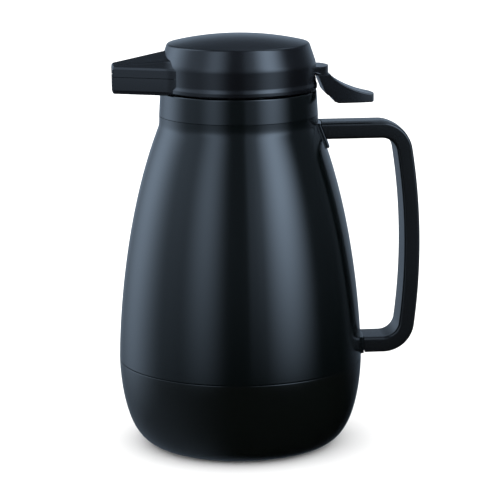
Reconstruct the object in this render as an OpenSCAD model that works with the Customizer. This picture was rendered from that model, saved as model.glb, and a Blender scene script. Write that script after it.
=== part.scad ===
// Thermal carafe with a pouring stopper lid, a thumb lever and a D-shaped handle. Sizes are in millimetres.
// The origin is the middle of the foot pad on the table. +Z is up, the handle is at +X and the spout at -X.

/* [Body] */
// Widest radius of the body, at the seam of the base cup
belly_r = 66.1; // [62:0.1:72]
// Height of the seam between the base cup and the outer shell
seam_z = 46.7; // [42:0.1:50]
// Height of the shell's top edge, where the collar starts
collar_z = 180.2; // [172:0.1:196]
// Radius of the collar at its foot
collar_r = 42.7; // [41.5:0.1:45]
// Height of the collar
collar_h = 13.3; // [12:0.1:16]
// How far the collar draws in from its foot to its top
collar_taper = 0.8; // [0.2:0.1:1.2]
// Wall of the outer shell and the base cup
body_wall = 2.2; // [1.6:0.1:2.6]
// Height of the shoulder's curve into the collar
shoulder_h = 8.2; // [6:0.1:9]
// How much wider the shoulder is than the collar
shoulder_step = 1.2; // [0.6:0.1:1.6]
// Height of the swelling pull of the shell's side, down from the shoulder
swell_h = 54.6; // [45:0.1:60]
// Outward pull of the shell's side, from the shoulder's radius
swell_r = 21; // [17:0.1:22]
// Radius where the base curve leaves the flat underside
foot_r = 45.5; // [43:0.1:50]
// Outward pull of the base curve, which sets how square the base looks
foot_pull = 19; // [15:0.1:20]
// Height of the base cup's underside over the table
foot_lift = 0.6; // [0.4:0.1:1.5]
// Straight rise of the body's side below and above the seam
belly_hold = 5.5; // [4:0.1:8]
// Open line at the seam between base cup and shell
seam_gap = 0.3; // [0.2:0.05:0.5]
// Thickness of the base cup's floor
base_floor = 3.4; // [2.8:0.1:4.5]
// Width of the flat ring round the non-slip foot pad
foot_pad_in = 4.5; // [3.5:0.1:10]
// Depth of the recess that holds the foot pad
foot_pad_recess = 1.2; // [0.8:0.1:1.6]
// Height of the tongue by which the base cup enters the shell
tongue_h = 3; // [2:0.1:3.2]
// Thickness of the tongue and of the collar's skirt
tongue_t = 1.6; // [1.2:0.1:1.8]

/* [Flask] */
// Free space between the outer shell and the flask
flask_gap = 3.2; // [2.8:0.1:4]
// Wall of both flasks
flask_wall = 0.8; // [0.6:0.1:1]
// Vacuum space between the two flasks
vacuum_gap = 4; // [3:0.1:4.5]
// Height of the flask's underside over the table
flask_z = 14; // [12:0.1:18]
// Height of the flask's lip over the collar's foot
lip_rise = 5; // [4:0.1:5.5]
// Thickness of the gasket on the flask's lip
neck_gasket_t = 1.2; // [0.8:0.1:1.4]
// Radius of the sealing button under the flask
vacuum_seal_r = 7; // [5:0.1:9]
// Thickness of the sealing button
vacuum_seal_t = 1.4; // [1:0.1:2]
// Inner radius of the rubber cushion under the flask
cushion_r = 18; // [14:0.1:20]
// Width of the rubber cushion
cushion_w = 10; // [7:0.1:12]

/* [Handle] */
// Width of the handle, across the carafe
handle_w = 21.5; // [18:0.1:24]
// Thickness of the handle's bar
handle_t = 8.2; // [7.5:0.1:9.5]
// Distance of the upper arm's middle below the collar's foot
arm_drop = 8.4; // [7:0.1:10]
// Distance of the lower arm's middle above the seam
arm_rise = 6.6; // [6.2:0.1:9]
// Distance from the body's widest radius to the middle of the grip
finger_room = 27.3; // [24:0.1:32]
// Radius of the grip's slight outward bow
grip_bow = 336; // [250:1:600]
// Height of the bow's furthest point over the seam
grip_mid = 60.3; // [50:0.1:75]
// Bend radius of the handle's corners, at the middle of the bar
corner_r = 12.8; // [10:0.1:18]
// Rounding of the bar's outer edges
outer_round = 1.3; // [0.8:0.1:1.4]
// Rounding of the bar's inner edges
inner_round = 2.6; // [1.5:0.1:3.2]
// Width of the rim on each side of the cover strip
strip_rim = 1.6; // [1.5:0.1:3]
// Depth of the channel that holds the cover strip
strip_depth = 1.4; // [1:0.1:2]
// Height of the cover strip's crown over its edges
strip_crown = 0.4; // [0.2:0.1:0.8]
// Thickness of the pads on the body that the handle meets
pad_t = 1.6; // [1:0.1:2.2]
// How far each pad shows above and below the arm it carries
pad_show = 0.3; // [0:0.1:2]
// How much further the upper pad reaches down the shoulder
pad_tail = 4.3; // [0:0.1:6]

/* [Lid] */
// Gap between the collar's top and the lid
lid_gap = 0.8; // [0.6:0.1:1.2]
// How much smaller the cap's wall is than the collar's foot
cap_inset = 1.1; // [0.8:0.1:1.6]
// Wall of the cap
cap_wall = 2.2; // [1.8:0.1:2.6]
// Height of the cap's upright wall
cap_side_h = 14; // [13.4:0.1:16]
// Height of the cap's cone
cap_cone_h = 10.3; // [9:0.1:12]
// How far the cone draws in
cap_cone_in = 3.5; // [2.5:0.1:5]
// Height of the shallow dome over the cone
dome_h = 4.6; // [3.5:0.1:6]
// Rounding at the edge between cone and dome
rim_round = 1.6; // [1:0.1:2.2]
// How far the bead at the cap's lower edge stands out
bead_out = 0.6; // [0.3:0.1:0.7]
// Height of the bead
bead_h = 2.8; // [2:0.1:3.4]
// Thickness of the lid base's plate
plate_t = 2; // [1.6:0.1:2.4]
// Height of the locating rim on the lid base
plate_rim_h = 3; // [2:0.1:3.4]
// Outer radius of the guide that the stem slides in
guide_r = 5.6; // [5.2:0.1:6.2]
// Height of the guide over the plate
guide_h = 4.6; // [4:0.1:5]
// Free space between the heads of the four lid screws and the plug's wall
lid_screw_in = 1.9; // [1.4:0.1:3.4]
// Angle of the lid screws from the handle's side
lid_screw_angle = 65; // [60:1:68]
// Radius of the bosses for the lid screws
boss_r = 3.2; // [2.8:0.1:3.6]

/* [Spout] */
// Reach of the spout's tip from the cap's wall
spout_reach = 26; // [20:0.1:32]
// Width of the spout at its tip
spout_tip_w = 15.2; // [14:0.1:18]
// Width of the spout where it meets the cap
spout_root_w = 41; // [34:0.1:46]
// Height of the spout's straight side
spout_side_h = 13.3; // [12.6:0.1:14.5]
// Drop of the spout's underside below the lid's
spout_drop = 1.2; // [0.4:0.1:1.6]
// Height of the roof's ridge over the sides, at the tip
ridge_tip_h = 2.6; // [2:0.1:4]
// Height of the roof's ridge over the sides, at the cap
ridge_root_h = 9; // [7:0.1:10]
// Rounding of the spout's lower edges
spout_round = 2.4; // [1.5:0.1:3]
// Rounding of the mouth's rim
mouth_round = 1.3; // [0.8:0.1:1.6]
// Wall of the spout and its duct
spout_wall = 1.8; // [1.4:0.1:2]
// Height of the parting line over the spout's underside
parting_h = 8.8; // [7.5:0.1:10]
// Width of the duct inside the lid
duct_w = 18; // [16:0.1:19]
// Height of the duct inside the lid
duct_h = 11; // [10:0.1:12]
// Distance of the duct's closed end from the middle
duct_end = 10; // [9.8:0.1:12]

/* [Stopper and valve] */
// Thickness of the collar from its foot's radius to the stopper's bore
collar_wall = 7.5; // [7:0.1:8]
// Depth of the stopper below the lid
plug_depth = 28.3; // [25:0.1:32]
// Free space between the plug and the flask's neck
plug_clear = 0.8; // [0.5:0.1:1.2]
// Wall of the plug
plug_wall = 4.2; // [3.6:0.1:4.6]
// Thickness of the plug's floor
plug_floor = 2.5; // [2:0.1:3]
// Radius of the pouring port in the plug's floor
port_r = 8; // [6:0.1:9]
// Free space between the stopper's sleeve and the collar's bore
sleeve_clear = 2; // [1.8:0.1:2.4]
// How far the collar's locking lugs stand into the bore
lug_in = 0.9; // [0.6:0.1:1.1]
// Height of each locking lug
lug_h = 1.9; // [1.5:0.1:2]
// Angle that each locking lug covers
lug_angle = 40; // [25:1:50]
// Height of the stopper gasket's middle below the flask's lip
gasket_drop = 3.8; // [3.4:0.1:6]
// Height of the stopper gasket
gasket_h = 2.8; // [2:0.1:3]
// Depth of the groove that holds the stopper gasket
gasket_groove = 1.5; // [1:0.1:1.8]
// Radius of the valve's stem
stem_r = 2.5; // [2.2:0.1:2.8]
// Step from the stem to its tenons
tenon_step = 0.7; // [0.4:0.1:0.9]
// Width of the seal round the stem
stem_seal_w = 1.7; // [1.2:0.1:1.9]
// Height of the seal round the stem
stem_seal_t = 2.2; // [1.6:0.1:3]
// Radius of the disc that closes the port
valve_r = 12; // [11:0.1:14]
// Thickness of the valve disc
valve_t = 2.2; // [1.8:0.1:3]
// Thickness of the soft seal under the disc
valve_seal_t = 1.6; // [1.2:0.1:2]
// Radius of the valve disc's hub
hub_r = 3.8; // [3.4:0.1:4]
// Height of the hub over the disc
hub_h = 3.6; // [3:0.1:4.5]
// Radius of the nut that the lever lifts
nut_r = 8.2; // [7.8:0.1:9]
// Thickness of the nut
nut_t = 2.4; // [1.8:0.1:3]
// Radius of the spring's coil, at the middle of its wire
spring_r = 5.6; // [5:0.1:7]
// Thickness of the spring's wire
wire_d = 1.2; // [0.8:0.1:1.4]
// Turns of the spring
spring_turns = 6; // [4:1:8]

/* [Lever] */
// Width of the thumb lever
lever_w = 21; // [18:0.1:23]
// Distance of the pin from the cap's wall, inwards
pin_in = 7.1; // [6.8:0.1:8]
// Height of the pin over the lid's lower edge
pin_h = 8.9; // [8.7:0.1:9.2]
// Radius of the pin
pin_r = 1.5; // [1.2:0.1:1.8]
// Thickness of the lever over the pin's middle
knuckle_up = 2.8; // [2.6:0.1:3]
// Reach of the knuckle from the cap's wall
knuckle_reach = 6.4; // [5:0.1:8]
// Height of the knuckle's upright end
knuckle_end_h = 4; // [3:0.1:5]
// Thickness of the lever where it passes the cap's wall
neck_t = 4.6; // [4:0.1:4.8]
// Reach of the paddle's tip from the cap's wall
paddle_reach = 31.6; // [26:0.1:36]
// Drop of the paddle's tip below the knuckle's top
tip_drop = 15.6; // [13:0.1:17]
// Height of the paddle's end face
tip_h = 4.2; // [3:0.1:5]
// Depth of the thumb's dish below a straight slope
thumb_dish = 1.6; // [1:0.1:2.4]
// Rounding of the lever's upright corners
lever_round = 2.6; // [1.5:0.1:3.5]
// Length of the heel's sloping underside, between the knuckle's end and the flat underside
heel_reach = 5; // [4:0.1:8]
// Length of the notch at the heel
heel_step = 2.8; // [2:0.1:3.4]
// Height of the heel's notch over the flat underside
heel_h = 3.2; // [2.8:0.1:4.5]
// Rise of each short run of the heel's underside
heel_lift = 0.8; // [0.5:0.1:1.5]
// Lean of the knuckle's upright end
knuckle_lean = 1.1; // [0.5:0.1:2]
// Lean of the paddle's end face
tip_lean = 0.3; // [0:0.1:1]
// How far the lever swings, in degrees
press_angle = 10; // [6:0.5:10]
// Thickness of the paddle's top skin
skin_t = 2.2; // [1.6:0.1:2.8]
// Thickness of the paddle's side plates
plate_side_t = 2; // [1.5:0.1:2.6]
// Gap between the middle plane and each prong of the fork
fork_gap = 4.2; // [3.6:0.1:4.6]
// Width of each prong
prong_w = 3; // [2.4:0.1:3.4]
// Radius of the nose at each prong's end
nose_r = 1.6; // [1.3:0.1:1.8]
// Thickness of the ears that hold the pin
ear_t = 2.4; // [2:0.1:2.6]
// Half the length of each ear along the carafe
ear_half = 2; // [2:0.1:2.6]

/* [Screws] */
// Radius of the handle screws' shanks
handle_screw_r = 1.6; // [1.3:0.1:2]
// Length of the handle screws under the head
handle_screw_len = 14; // [10:0.1:18]
// Radius of the handle screws' heads
handle_head_r = 3.2; // [2.6:0.1:3.4]
// Thickness of the screws' heads
head_t = 1.6; // [1.2:0.1:1.8]
// Shell left under the head of a handle screw
seat_wall = 2.1; // [1.8:0.1:2.4]
// Radius of the lid screws' shanks
lid_screw_r = 1.4; // [1.1:0.1:1.6]
// Length of the lid screws under the head
lid_screw_len = 11; // [8:0.1:14]
// Radius of the lid screws' heads
lid_head_r = 2.8; // [2.2:0.1:3]

/* [Fits] */
// Gap between pieces that fit together and stay
fit = 0.15; // [0.1:0.05:0.2]
// Gap between pieces that pass each other when they move
pass = 0.3; // [0.3:0.05:0.45]
// Radial clearance of a shaft that turns or slides in its bore
running = 0.08; // [0.05:0.01:0.1]

/* [Hidden] */

// Steps along the long side curve, the neck's curve, the base's curve and small arcs
side_steps = 22;
neck_steps = 6;
base_steps = 12;
arc_steps = 4;
dome_steps = 8;
// Sides of round shapes, and of the rings that make the spring
round_fn = 96;
corner_steps = 3;
bend_steps = 8;
wire_sides = 6;
turn_steps = 8;
// A small amount by which a cut runs past the face that it opens
past = 1;
lug_count = 3;

// Heights that follow from the sizes above
shoulder_z = collar_z - shoulder_h;
shoulder_r = collar_r + shoulder_step;
collar_top = collar_z + collar_h;
lid_z = collar_top + lid_gap;
lip_z = collar_z + lip_rise;
ledge_z = lip_z + neck_gasket_t;
base_top = foot_lift + base_floor;
plate_top = lid_z + plate_t;
guide_top = plate_top + guide_h;
plug_z = lid_z - plug_depth;
seat_z = plug_z + plug_floor;
break_z = lid_z + cap_side_h;
rim_z = break_z + cap_cone_h;
top_z = rim_z + dome_h;
spout_z = lid_z - spout_drop;
side_top_z = spout_z + spout_side_h;
parting_z = spout_z + parting_h;
duct_top = lid_z + duct_h;

// Radii and distances that follow from the sizes above
flask_in = body_wall + flask_gap;
liner_in = flask_in + flask_wall + vacuum_gap;
mouth_r = collar_r - liner_in - flask_wall;
lip_r = collar_r - flask_in;
bore_r = collar_r - collar_wall;
skirt_r = collar_r - body_wall - fit;
sleeve_r = bore_r - sleeve_clear;
plug_r = mouth_r - plug_clear;
chamber_r = plug_r - plug_wall;
cap_r = collar_r - cap_inset;
rim_r = cap_r - cap_cone_in;
foot_pad_r = foot_r - foot_pad_in;
lid_screw_pcd_r = chamber_r - lid_head_r - lid_screw_in;
plate_r = cap_r - cap_wall - fit;
dome_r = (rim_r * rim_r + dome_h * dome_h) / (2 * dome_h);
tip_x = -cap_r - spout_reach;
pin_x = cap_r - pin_in;
pin_z = lid_z + pin_h;
knuckle_x = cap_r + knuckle_reach;
knuckle_top = pin_z + knuckle_up;
paddle_x = cap_r + paddle_reach;
arm_high_z = collar_z - arm_drop;
arm_low_z = seam_z + arm_rise;
grip_z = seam_z + grip_mid;
grip_x = belly_r + finger_room;

spout_root_x = sqrt(cap_r * cap_r - spout_root_w * spout_root_w / 4);
stem_seal_r = stem_r + stem_seal_w;
disc_z = seat_z + pass + valve_seal_t;
hub_top = disc_z + valve_t + hub_h;
nut_z = knuckle_top + 2 * pass;
tenon_r = stem_r - tenon_step;
spring_z0 = disc_z + valve_t + wire_d / 2;
spring_z1 = lid_z - wire_d / 2;
spring_pitch = (spring_z1 - spring_z0) / spring_turns;

// How far the lever's underside dips at the outside of the cap's wall, at full press
neck_swing = (pin_in + bead_out) * sin(press_angle) + pass;

function bezier(a, b, c, d, t) =
    pow(1 - t, 3) * a + 3 * pow(1 - t, 2) * t * b + 3 * (1 - t) * t * t * c + t * t * t * d;

function reversed(list) = [for (i = [len(list) - 1:-1:0]) list[i]];

// Points of an arc about a centre, from one angle to another
function arc(centre, r, from, to, steps) =
    [for (i = [0:steps]) centre + r * [cos(from + (to - from) * i / steps), sin(from + (to - from) * i / steps)]];

// The body's side from the seam to the shoulder, as [radius, height], moved in by an inset
function upper_side(inset) = [
    for (i = [0:side_steps])
        bezier(
            [belly_r - inset, seam_z],
            [belly_r - inset, seam_z + belly_hold],
            [shoulder_r + swell_r - inset, shoulder_z - swell_h],
            [shoulder_r - inset, shoulder_z],
            i / side_steps
        )
];

// The hollow curve from the shoulder into the collar
function neck_side(inset) =
    let (pull = [collar_r - inset, shoulder_z + shoulder_step * swell_h / swell_r])
    [
        for (i = [1:neck_steps])
            bezier([shoulder_r - inset, shoulder_z], pull, pull, [collar_r - inset, collar_z], i / neck_steps)
    ];

function body_side(inset) = concat(upper_side(inset), neck_side(inset));

// The base curve from a flat floor up to the seam, moved in by an inset
function lower_side(inset, floor_z) = [
    for (i = [0:base_steps])
        bezier(
            [foot_r - inset, floor_z],
            [foot_r + foot_pull - inset, floor_z],
            [belly_r - inset, seam_z - belly_hold],
            [belly_r - inset, seam_z],
            i / base_steps
        )
];

function tail(list) = [for (i = [1:len(list) - 1]) list[i]];

// Radius of the shell's outside at a height above the seam
function shell_r(z) = lookup(z, [for (p = body_side(0)) [p[1], p[0]]]);

// Height of the dome's outside over a distance from the middle
function dome_z(r) = top_z - dome_r + sqrt(dome_r * dome_r - r * r);

module ring_solid(points) {
    rotate_extrude($fn = round_fn) polygon(points);
}

module tube(r_out, r_in, z0, z1) {
    ring_solid([[r_in, z0], [r_out, z0], [r_out, z1], [r_in, z1]]);
}

module rod(r, z0, z1) {
    translate([0, 0, z0]) cylinder(r = r, h = z1 - z0, $fn = round_fn);
}

module block(x0, x1, y0, y1, z0, z1) {
    translate([x0, y0, z0]) cube([x1 - x0, y1 - y0, z1 - z0]);
}

// A cylinder along X between two places, at a height in the middle plane
module rod_x(r, x0, x1, z) {
    translate([x0, 0, z]) rotate([0, 90, 0]) cylinder(r = r, h = x1 - x0, $fn = round_fn);
}

// A cylinder along Y, centred on the middle plane
module rod_y(r, length, x, z) {
    translate([x, 0, z]) rotate([90, 0, 0]) cylinder(r = r, h = length, center = true, $fn = round_fn);
}

// An outline drawn as [x, z] and given a width across the carafe
module side_plate(outline, width) {
    rotate([90, 0, 0]) translate([0, 0, -width / 2]) linear_extrude(width) polygon(outline);
}

// A rectangle in plan with all four corners rounded
module plan_block(x0, x1, width, r, z0, z1) {
    translate([0, 0, z0]) linear_extrude(z1 - z0) {
        translate([x0 + r, -width / 2]) square([x1 - x0 - 2 * r, width]);
        translate([x0, r - width / 2]) square([x1 - x0, width - 2 * r]);
        for (x = [x0 + r, x1 - r], y = [r - width / 2, width / 2 - r])
            translate([x, y]) circle(r = r, $fn = round_fn);
    }
}

// A solid through rings of points. Each ring has as many points as its convex pieces name, and the pieces
// close the first and the last ring
module skin(points, pieces) {
    n = max([for (piece = pieces) max(piece)]) + 1;
    last = len(points) - n;
    sides = [
        for (a = [0:n:last - n], j = [0:n - 1])
            let (k = (j + 1) % n, b = a + n)
            each [[a + j, a + k, b + j], [a + k, b + k, b + j]]
    ];
    near = [for (piece = pieces) reversed(piece)];
    far = [for (piece = pieces) [for (j = piece) last + j]];
    polyhedron(points, concat(sides, near, far));
}

// Cone that follows the body's pad beside an arm of the handle, and that the arm stops at
module pad_form(z) {
    low = z - handle_t / 2 - past;
    high = z + handle_t / 2 + past;
    out = pad_t + 2 * fit;
    ring_solid([[0, low], [shell_r(low) + out, low], [shell_r(high) + out, high], [0, high]]);
}

// Body

module outer_body() {
    color([0.07, 0.08, 0.09]) difference() {
        union() {
            ring_solid(concat(
                [[belly_r, seam_z + seam_gap]],
                tail(body_side(0)),
                reversed(tail(body_side(body_wall))),
                [[belly_r - body_wall, seam_z + seam_gap]]
            ));
            handle_pad(arm_high_z - handle_t / 2 - pad_show - pad_tail, arm_high_z + handle_t / 2 + pad_show);
            handle_pad(arm_low_z - handle_t / 2 - pad_show, arm_low_z + handle_t / 2 + pad_show);
        }
        for (z = [arm_high_z, arm_low_z]) {
            rod_x(handle_head_r + fit, shell_r(z) - body_wall - flask_gap, shell_r(z) - seat_wall, z);
            rod_x(handle_screw_r + fit, shell_r(z) - body_wall - past, shell_r(z) + pad_t + past, z);
        }
    }
}

// Raised pad that follows the body's side, where an arm of the handle lands
module handle_pad(z0, z1) {
    intersection() {
        ring_solid(concat(body_side(-pad_t), reversed(body_side(body_wall / 2))));
        block(0, belly_r + pad_t + past, -handle_w / 2, handle_w / 2, max(z0, seam_z + seam_gap), z1);
    }
}

module base_cup() {
    tongue_out = belly_r - body_wall - fit;
    tongue_in = tongue_out - tongue_t;
    tongue_root = seam_z - 2 * tongue_h;
    inner = [for (p = lower_side(body_wall, base_top)) if (p[1] < tongue_root - tongue_t) p];
    color([0.05, 0.055, 0.06]) ring_solid(concat(
        [[0, foot_lift + foot_pad_recess], [foot_pad_r, foot_lift + foot_pad_recess], [foot_pad_r, foot_lift]],
        lower_side(0, foot_lift),
        [[tongue_out, seam_z], [tongue_out, seam_z + tongue_h], [tongue_in, seam_z + tongue_h]],
        [[tongue_in, tongue_root]],
        reversed(inner),
        [[0, base_top]]
    ));
}

module foot_pad() {
    color([0.12, 0.12, 0.12]) rod(foot_pad_r - fit, 0, foot_lift + foot_pad_recess);
}

module neck_collar() {
    skirt_in = skirt_r - tongue_t - shoulder_step / 2;
    color([0.09, 0.1, 0.11]) {
        ring_solid([
            [skirt_in, collar_z - shoulder_h / 2], [skirt_r, collar_z - shoulder_h / 2], [skirt_r, collar_z],
            [collar_r, collar_z], [collar_r - collar_taper, collar_top - collar_taper],
            [collar_r - 2 * collar_taper, collar_top], [bore_r, collar_top], [bore_r, ledge_z],
            [skirt_in, ledge_z]
        ]);
        lugs(bore_r - lug_in, bore_r + lug_in, ledge_z + 2 * pass + lug_h + pass);
    }
}

// Short locking lugs round a ring, between two radii, with their underside at a height
module lugs(r_in, r_out, z0) {
    half = lug_angle / 2;
    for (i = [0:lug_count - 1]) rotate(i * 360 / lug_count + 180 / lug_count) intersection() {
        tube(r_out, r_in, z0, z0 + lug_h);
        translate([0, 0, z0]) linear_extrude(lug_h)
            polygon([[0, 0], 2 * r_out * [cos(half), -sin(half)], 2 * r_out * [cos(half), sin(half)]]);
    }
}

module outer_flask() {
    top = lip_z - flask_wall;
    color([0.7, 0.71, 0.72]) ring_solid(concat(
        [[0, flask_z]],
        lower_side(flask_in, flask_z),
        tail(body_side(flask_in)),
        [[lip_r, top], [lip_r - flask_wall, top]],
        reversed(tail(body_side(flask_in + flask_wall))),
        reversed(lower_side(flask_in + flask_wall, flask_z + flask_wall)),
        [[0, flask_z + flask_wall]]
    ));
}

module inner_flask() {
    floor_z = flask_z + flask_wall + vacuum_gap;
    color([0.78, 0.79, 0.8]) ring_solid(concat(
        [[0, floor_z]],
        lower_side(liner_in, floor_z),
        tail(body_side(liner_in)),
        [[mouth_r + flask_wall, lip_z - flask_wall], [lip_r, lip_z - flask_wall], [lip_r, lip_z], [mouth_r, lip_z]],
        reversed(tail(body_side(liner_in + flask_wall))),
        reversed(lower_side(liner_in + flask_wall, floor_z + flask_wall)),
        [[0, floor_z + flask_wall]]
    ));
}

module vacuum_seal() {
    color([0.6, 0.6, 0.62]) rod(vacuum_seal_r, flask_z - vacuum_seal_t, flask_z);
}

module neck_gasket() {
    color([0.85, 0.85, 0.83]) tube(lip_r - fit, mouth_r + sleeve_clear, lip_z, ledge_z);
}

module base_cushion() {
    color([0.2, 0.2, 0.2]) tube(cushion_r + cushion_w, cushion_r, base_top, flask_z);
}

// Handle

// Points of a bend as [x, z, outward x, outward z], from one angle to another
function bend(x, z, r, from, to, steps) = [
    for (i = [0:steps])
        let (a = from + (to - from) * i / steps)
        [x + r * cos(a), z + r * sin(a), cos(a), sin(a)]
];

// Middle line of the handle: an arm, a corner, the bowed grip, a corner and an arm.
// Both ends start inside the body's wall
function handle_line() =
    let (
        bow_x = grip_x - grip_bow,
        reach = grip_bow - corner_r,
        high = arm_high_z - corner_r,
        low = arm_low_z + corner_r,
        turn_high = asin((high - grip_z) / reach),
        turn_low = asin((low - grip_z) / reach)
    )
    concat(
        [[shell_r(arm_high_z) - body_wall, arm_high_z, 0, 1]],
        bend(bow_x + reach * cos(turn_high), high, corner_r, 90, turn_high, bend_steps),
        tail(bend(bow_x, grip_z, grip_bow, turn_high, turn_low, bend_steps)),
        tail(bend(bow_x + reach * cos(turn_low), low, corner_r, turn_low, -90, bend_steps)),
        [[shell_r(arm_low_z) - body_wall, arm_low_z, 0, -1]]
    );

// Cross-section of the bar as [outward, across], with the channel for the strip on its outer side
function bar_section() =
    let (
        n = handle_t / 2,
        w = handle_w / 2,
        channel = w - strip_rim,
        o = outer_round,
        i = inner_round
    )
    concat(
        arc([n - o, w - o], o, 0, 90, corner_steps),
        arc([i - n, w - i], i, 90, 180, corner_steps),
        arc([i - n, i - w], i, 180, 270, corner_steps),
        arc([n - o, o - w], o, 270, 360, corner_steps),
        [[n, -channel], [n - strip_depth, -channel], [n - strip_depth, channel], [n, channel]]
    );

function strip_section() =
    let (
        n = handle_t / 2,
        w = handle_w / 2 - strip_rim - fit
    )
    [
        [n - strip_depth + fit, w], [n - strip_depth + fit, -w], [n, -w],
        [n + strip_crown, -w / 2], [n + strip_crown, w / 2], [n, w]
    ];

// The bar's section as three convex pieces: one rim, the other rim and the rest, as places in its list
function bar_pieces() =
    let (n = corner_steps + 1, last = 4 * n + 3)
    [
        concat([last - 1, last], [for (i = [0:n]) i]),
        [for (i = [3 * n - 1:last - 2]) i],
        concat([for (i = [n:3 * n - 1]) i], [last - 2, last - 1])
    ];

// A section run along the handle's middle line. The pieces of the section close both ends
module handle_run(section, pieces) {
    skin([for (p = handle_line(), s = section) [p[0] + p[2] * s[0], s[1], p[1] + p[3] * s[0]]], pieces);
}

module handle_frame() {
    color([0.08, 0.09, 0.11]) difference() {
        handle_run(bar_section(), bar_pieces());
        for (z = [arm_high_z, arm_low_z]) {
            pad_form(z);
            rod_x(handle_screw_r + fit, shell_r(z), shell_r(z) - seat_wall + handle_screw_len + past, z);
        }
    }
}

module handle_cover() {
    color([0.1, 0.11, 0.13]) difference() {
        handle_run(strip_section(), [[for (i = [0:len(strip_section()) - 1]) i]]);
        for (z = [arm_high_z, arm_low_z]) pad_form(z);
    }
}

module handle_screws() {
    color([0.75, 0.75, 0.77]) for (z = [arm_high_z, arm_low_z]) {
        seat = shell_r(z) - seat_wall;
        rod_x(handle_head_r, seat - head_t, seat, z);
        rod_x(handle_screw_r, seat, seat + handle_screw_len, z);
    }
}

// Lid

// The cap's outside as [radius, height], from its lower edge to the rim, moved out by a distance
function cap_side(out) =
    let (
        edge = bead_out / 2,
        slope = [cap_cone_in, -cap_cone_h] / norm([cap_cone_in, cap_cone_h]),
        rim = [rim_r, rim_z],
        below = rim + rim_round * slope,
        inside = [rim_r - rim_round, dome_z(rim_r - rim_round)]
    )
    [
        for (p = concat(
            [[cap_r + bead_out - edge, lid_z], [cap_r + bead_out, lid_z + edge]],
            [[cap_r + bead_out, lid_z + bead_h - bead_out], [cap_r, lid_z + bead_h], [cap_r, break_z]],
            [for (i = [0:arc_steps]) bezier(below, rim, rim, inside, i / arc_steps)]
        )) p + [out, 0]
    ];

function dome_points() =
    [for (i = [1:dome_steps]) let (r = (rim_r - rim_round) * (1 - i / dome_steps)) [r, dome_z(r)]];

// Where the four lid screws stand, as angles
function lid_screw_angles() = [lid_screw_angle, 180 - lid_screw_angle, 180 + lid_screw_angle, -lid_screw_angle];

module lid_cover() {
    slope = cap_cone_in / cap_cone_h;
    color([0.1, 0.11, 0.14]) difference() {
        union() {
            ring_solid(concat(
                cap_side(0),
                dome_points(),
                [[0, top_z - cap_wall], [rim_r - 2 * cap_wall, dome_z(rim_r - cap_wall) - cap_wall]],
                [[rim_r - cap_wall + slope * cap_wall, rim_z - cap_wall], [cap_r - cap_wall, break_z]],
                [[cap_r - cap_wall, lid_z]]
            ));
            for (a = lid_screw_angles()) rotate(a) translate([lid_screw_pcd_r, 0, 0])
                rod(boss_r, plate_top, dome_z(lid_screw_pcd_r) - cap_wall / 2);
        }
        for (a = lid_screw_angles()) rotate(a) translate([lid_screw_pcd_r, 0, 0])
            rod(lid_screw_r + fit, plate_top - past, lid_z + lid_screw_len + past);
        lever_slot();
        block(
            -cap_r - past, -duct_end, -duct_w / 2 - fit, duct_w / 2 + fit, lid_z - past, duct_top + fit
        );
    }
}

// Slot in the cap's wall for the lever, with room for its swing
module lever_slot() {
    half = lever_w / 2 + pass;
    block(pin_x, knuckle_x, -half, half, knuckle_top - neck_t - neck_swing, knuckle_top + pass);
}

module lid_base() {
    half = lever_w / 2 + pass;
    color([0.11, 0.12, 0.14]) difference() {
        union() {
            rod(plate_r, lid_z, plate_top);
            tube(plate_r, plate_r - plate_t, lid_z, plate_top + plate_rim_h);
            rod(guide_r, lid_z, guide_top);
            for (side = [-1, 1])
                block(
                    pin_x - ear_half, pin_x + ear_half,
                    side > 0 ? half : -half - ear_t, side > 0 ? half + ear_t : -half,
                    lid_z, pin_z + pin_r + ear_half / 2
                );
        }
        rod(stem_r + running, lid_z - past, guide_top + past);
        rod(stem_seal_r + fit, guide_top - stem_seal_t - fit, guide_top + past);
        rod_y(pin_r + fit / 4, 2 * (half + ear_t + past), pin_x, pin_z);
        for (a = lid_screw_angles()) rotate(a) translate([lid_screw_pcd_r, 0, 0])
            rod(lid_screw_r + fit, lid_z - past, plate_top + past);
        block(-cap_r, fit - duct_end, -duct_w / 2 - fit, duct_w / 2 + fit, lid_z - past, duct_top);
        lever_slot();
    }
}

module stem_seal() {
    color([0.8, 0.8, 0.78])
        tube(stem_seal_r, stem_r + running, guide_top - stem_seal_t - fit, guide_top - fit);
}

module lid_screws() {
    color([0.75, 0.75, 0.77]) for (a = lid_screw_angles()) rotate(a) translate([lid_screw_pcd_r, 0, 0]) {
        rod(lid_head_r, lid_z - head_t, lid_z);
        rod(lid_screw_r, lid_z, lid_z + lid_screw_len);
    }
}

// Spout

// Thin slice of the spout's outside at a place along X, moved in all round by an inset
module spout_slice(x, half, ridge_h, inset) {
    r = spout_round;
    bottom = spout_z + inset;
    wide = half - inset;
    ridge = side_top_z + ridge_h - inset;
    eave = side_top_z - inset;
    translate([x, 0, 0]) rotate([90, 0, 90]) linear_extrude(fit) polygon(concat(
        arc([wide - r, bottom + r], r, -90, 0, arc_steps),
        [[wide, eave - mouth_round / 2], [wide - mouth_round / 2, eave], [mouth_round, ridge - mouth_round / 4]],
        [[-mouth_round, ridge - mouth_round / 4], [mouth_round / 2 - wide, eave], [-wide, eave - mouth_round / 2]],
        arc([r - wide, bottom + r], r, 180, 270, arc_steps)
    ));
}

module spout_form() {
    hull() {
        spout_slice(tip_x, spout_tip_w / 2, ridge_tip_h, mouth_round);
        spout_slice(tip_x + mouth_round, spout_tip_w / 2, ridge_tip_h, 0);
        spout_slice(-spout_root_x, spout_root_w / 2, ridge_root_h, 0);
    }
}

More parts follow.
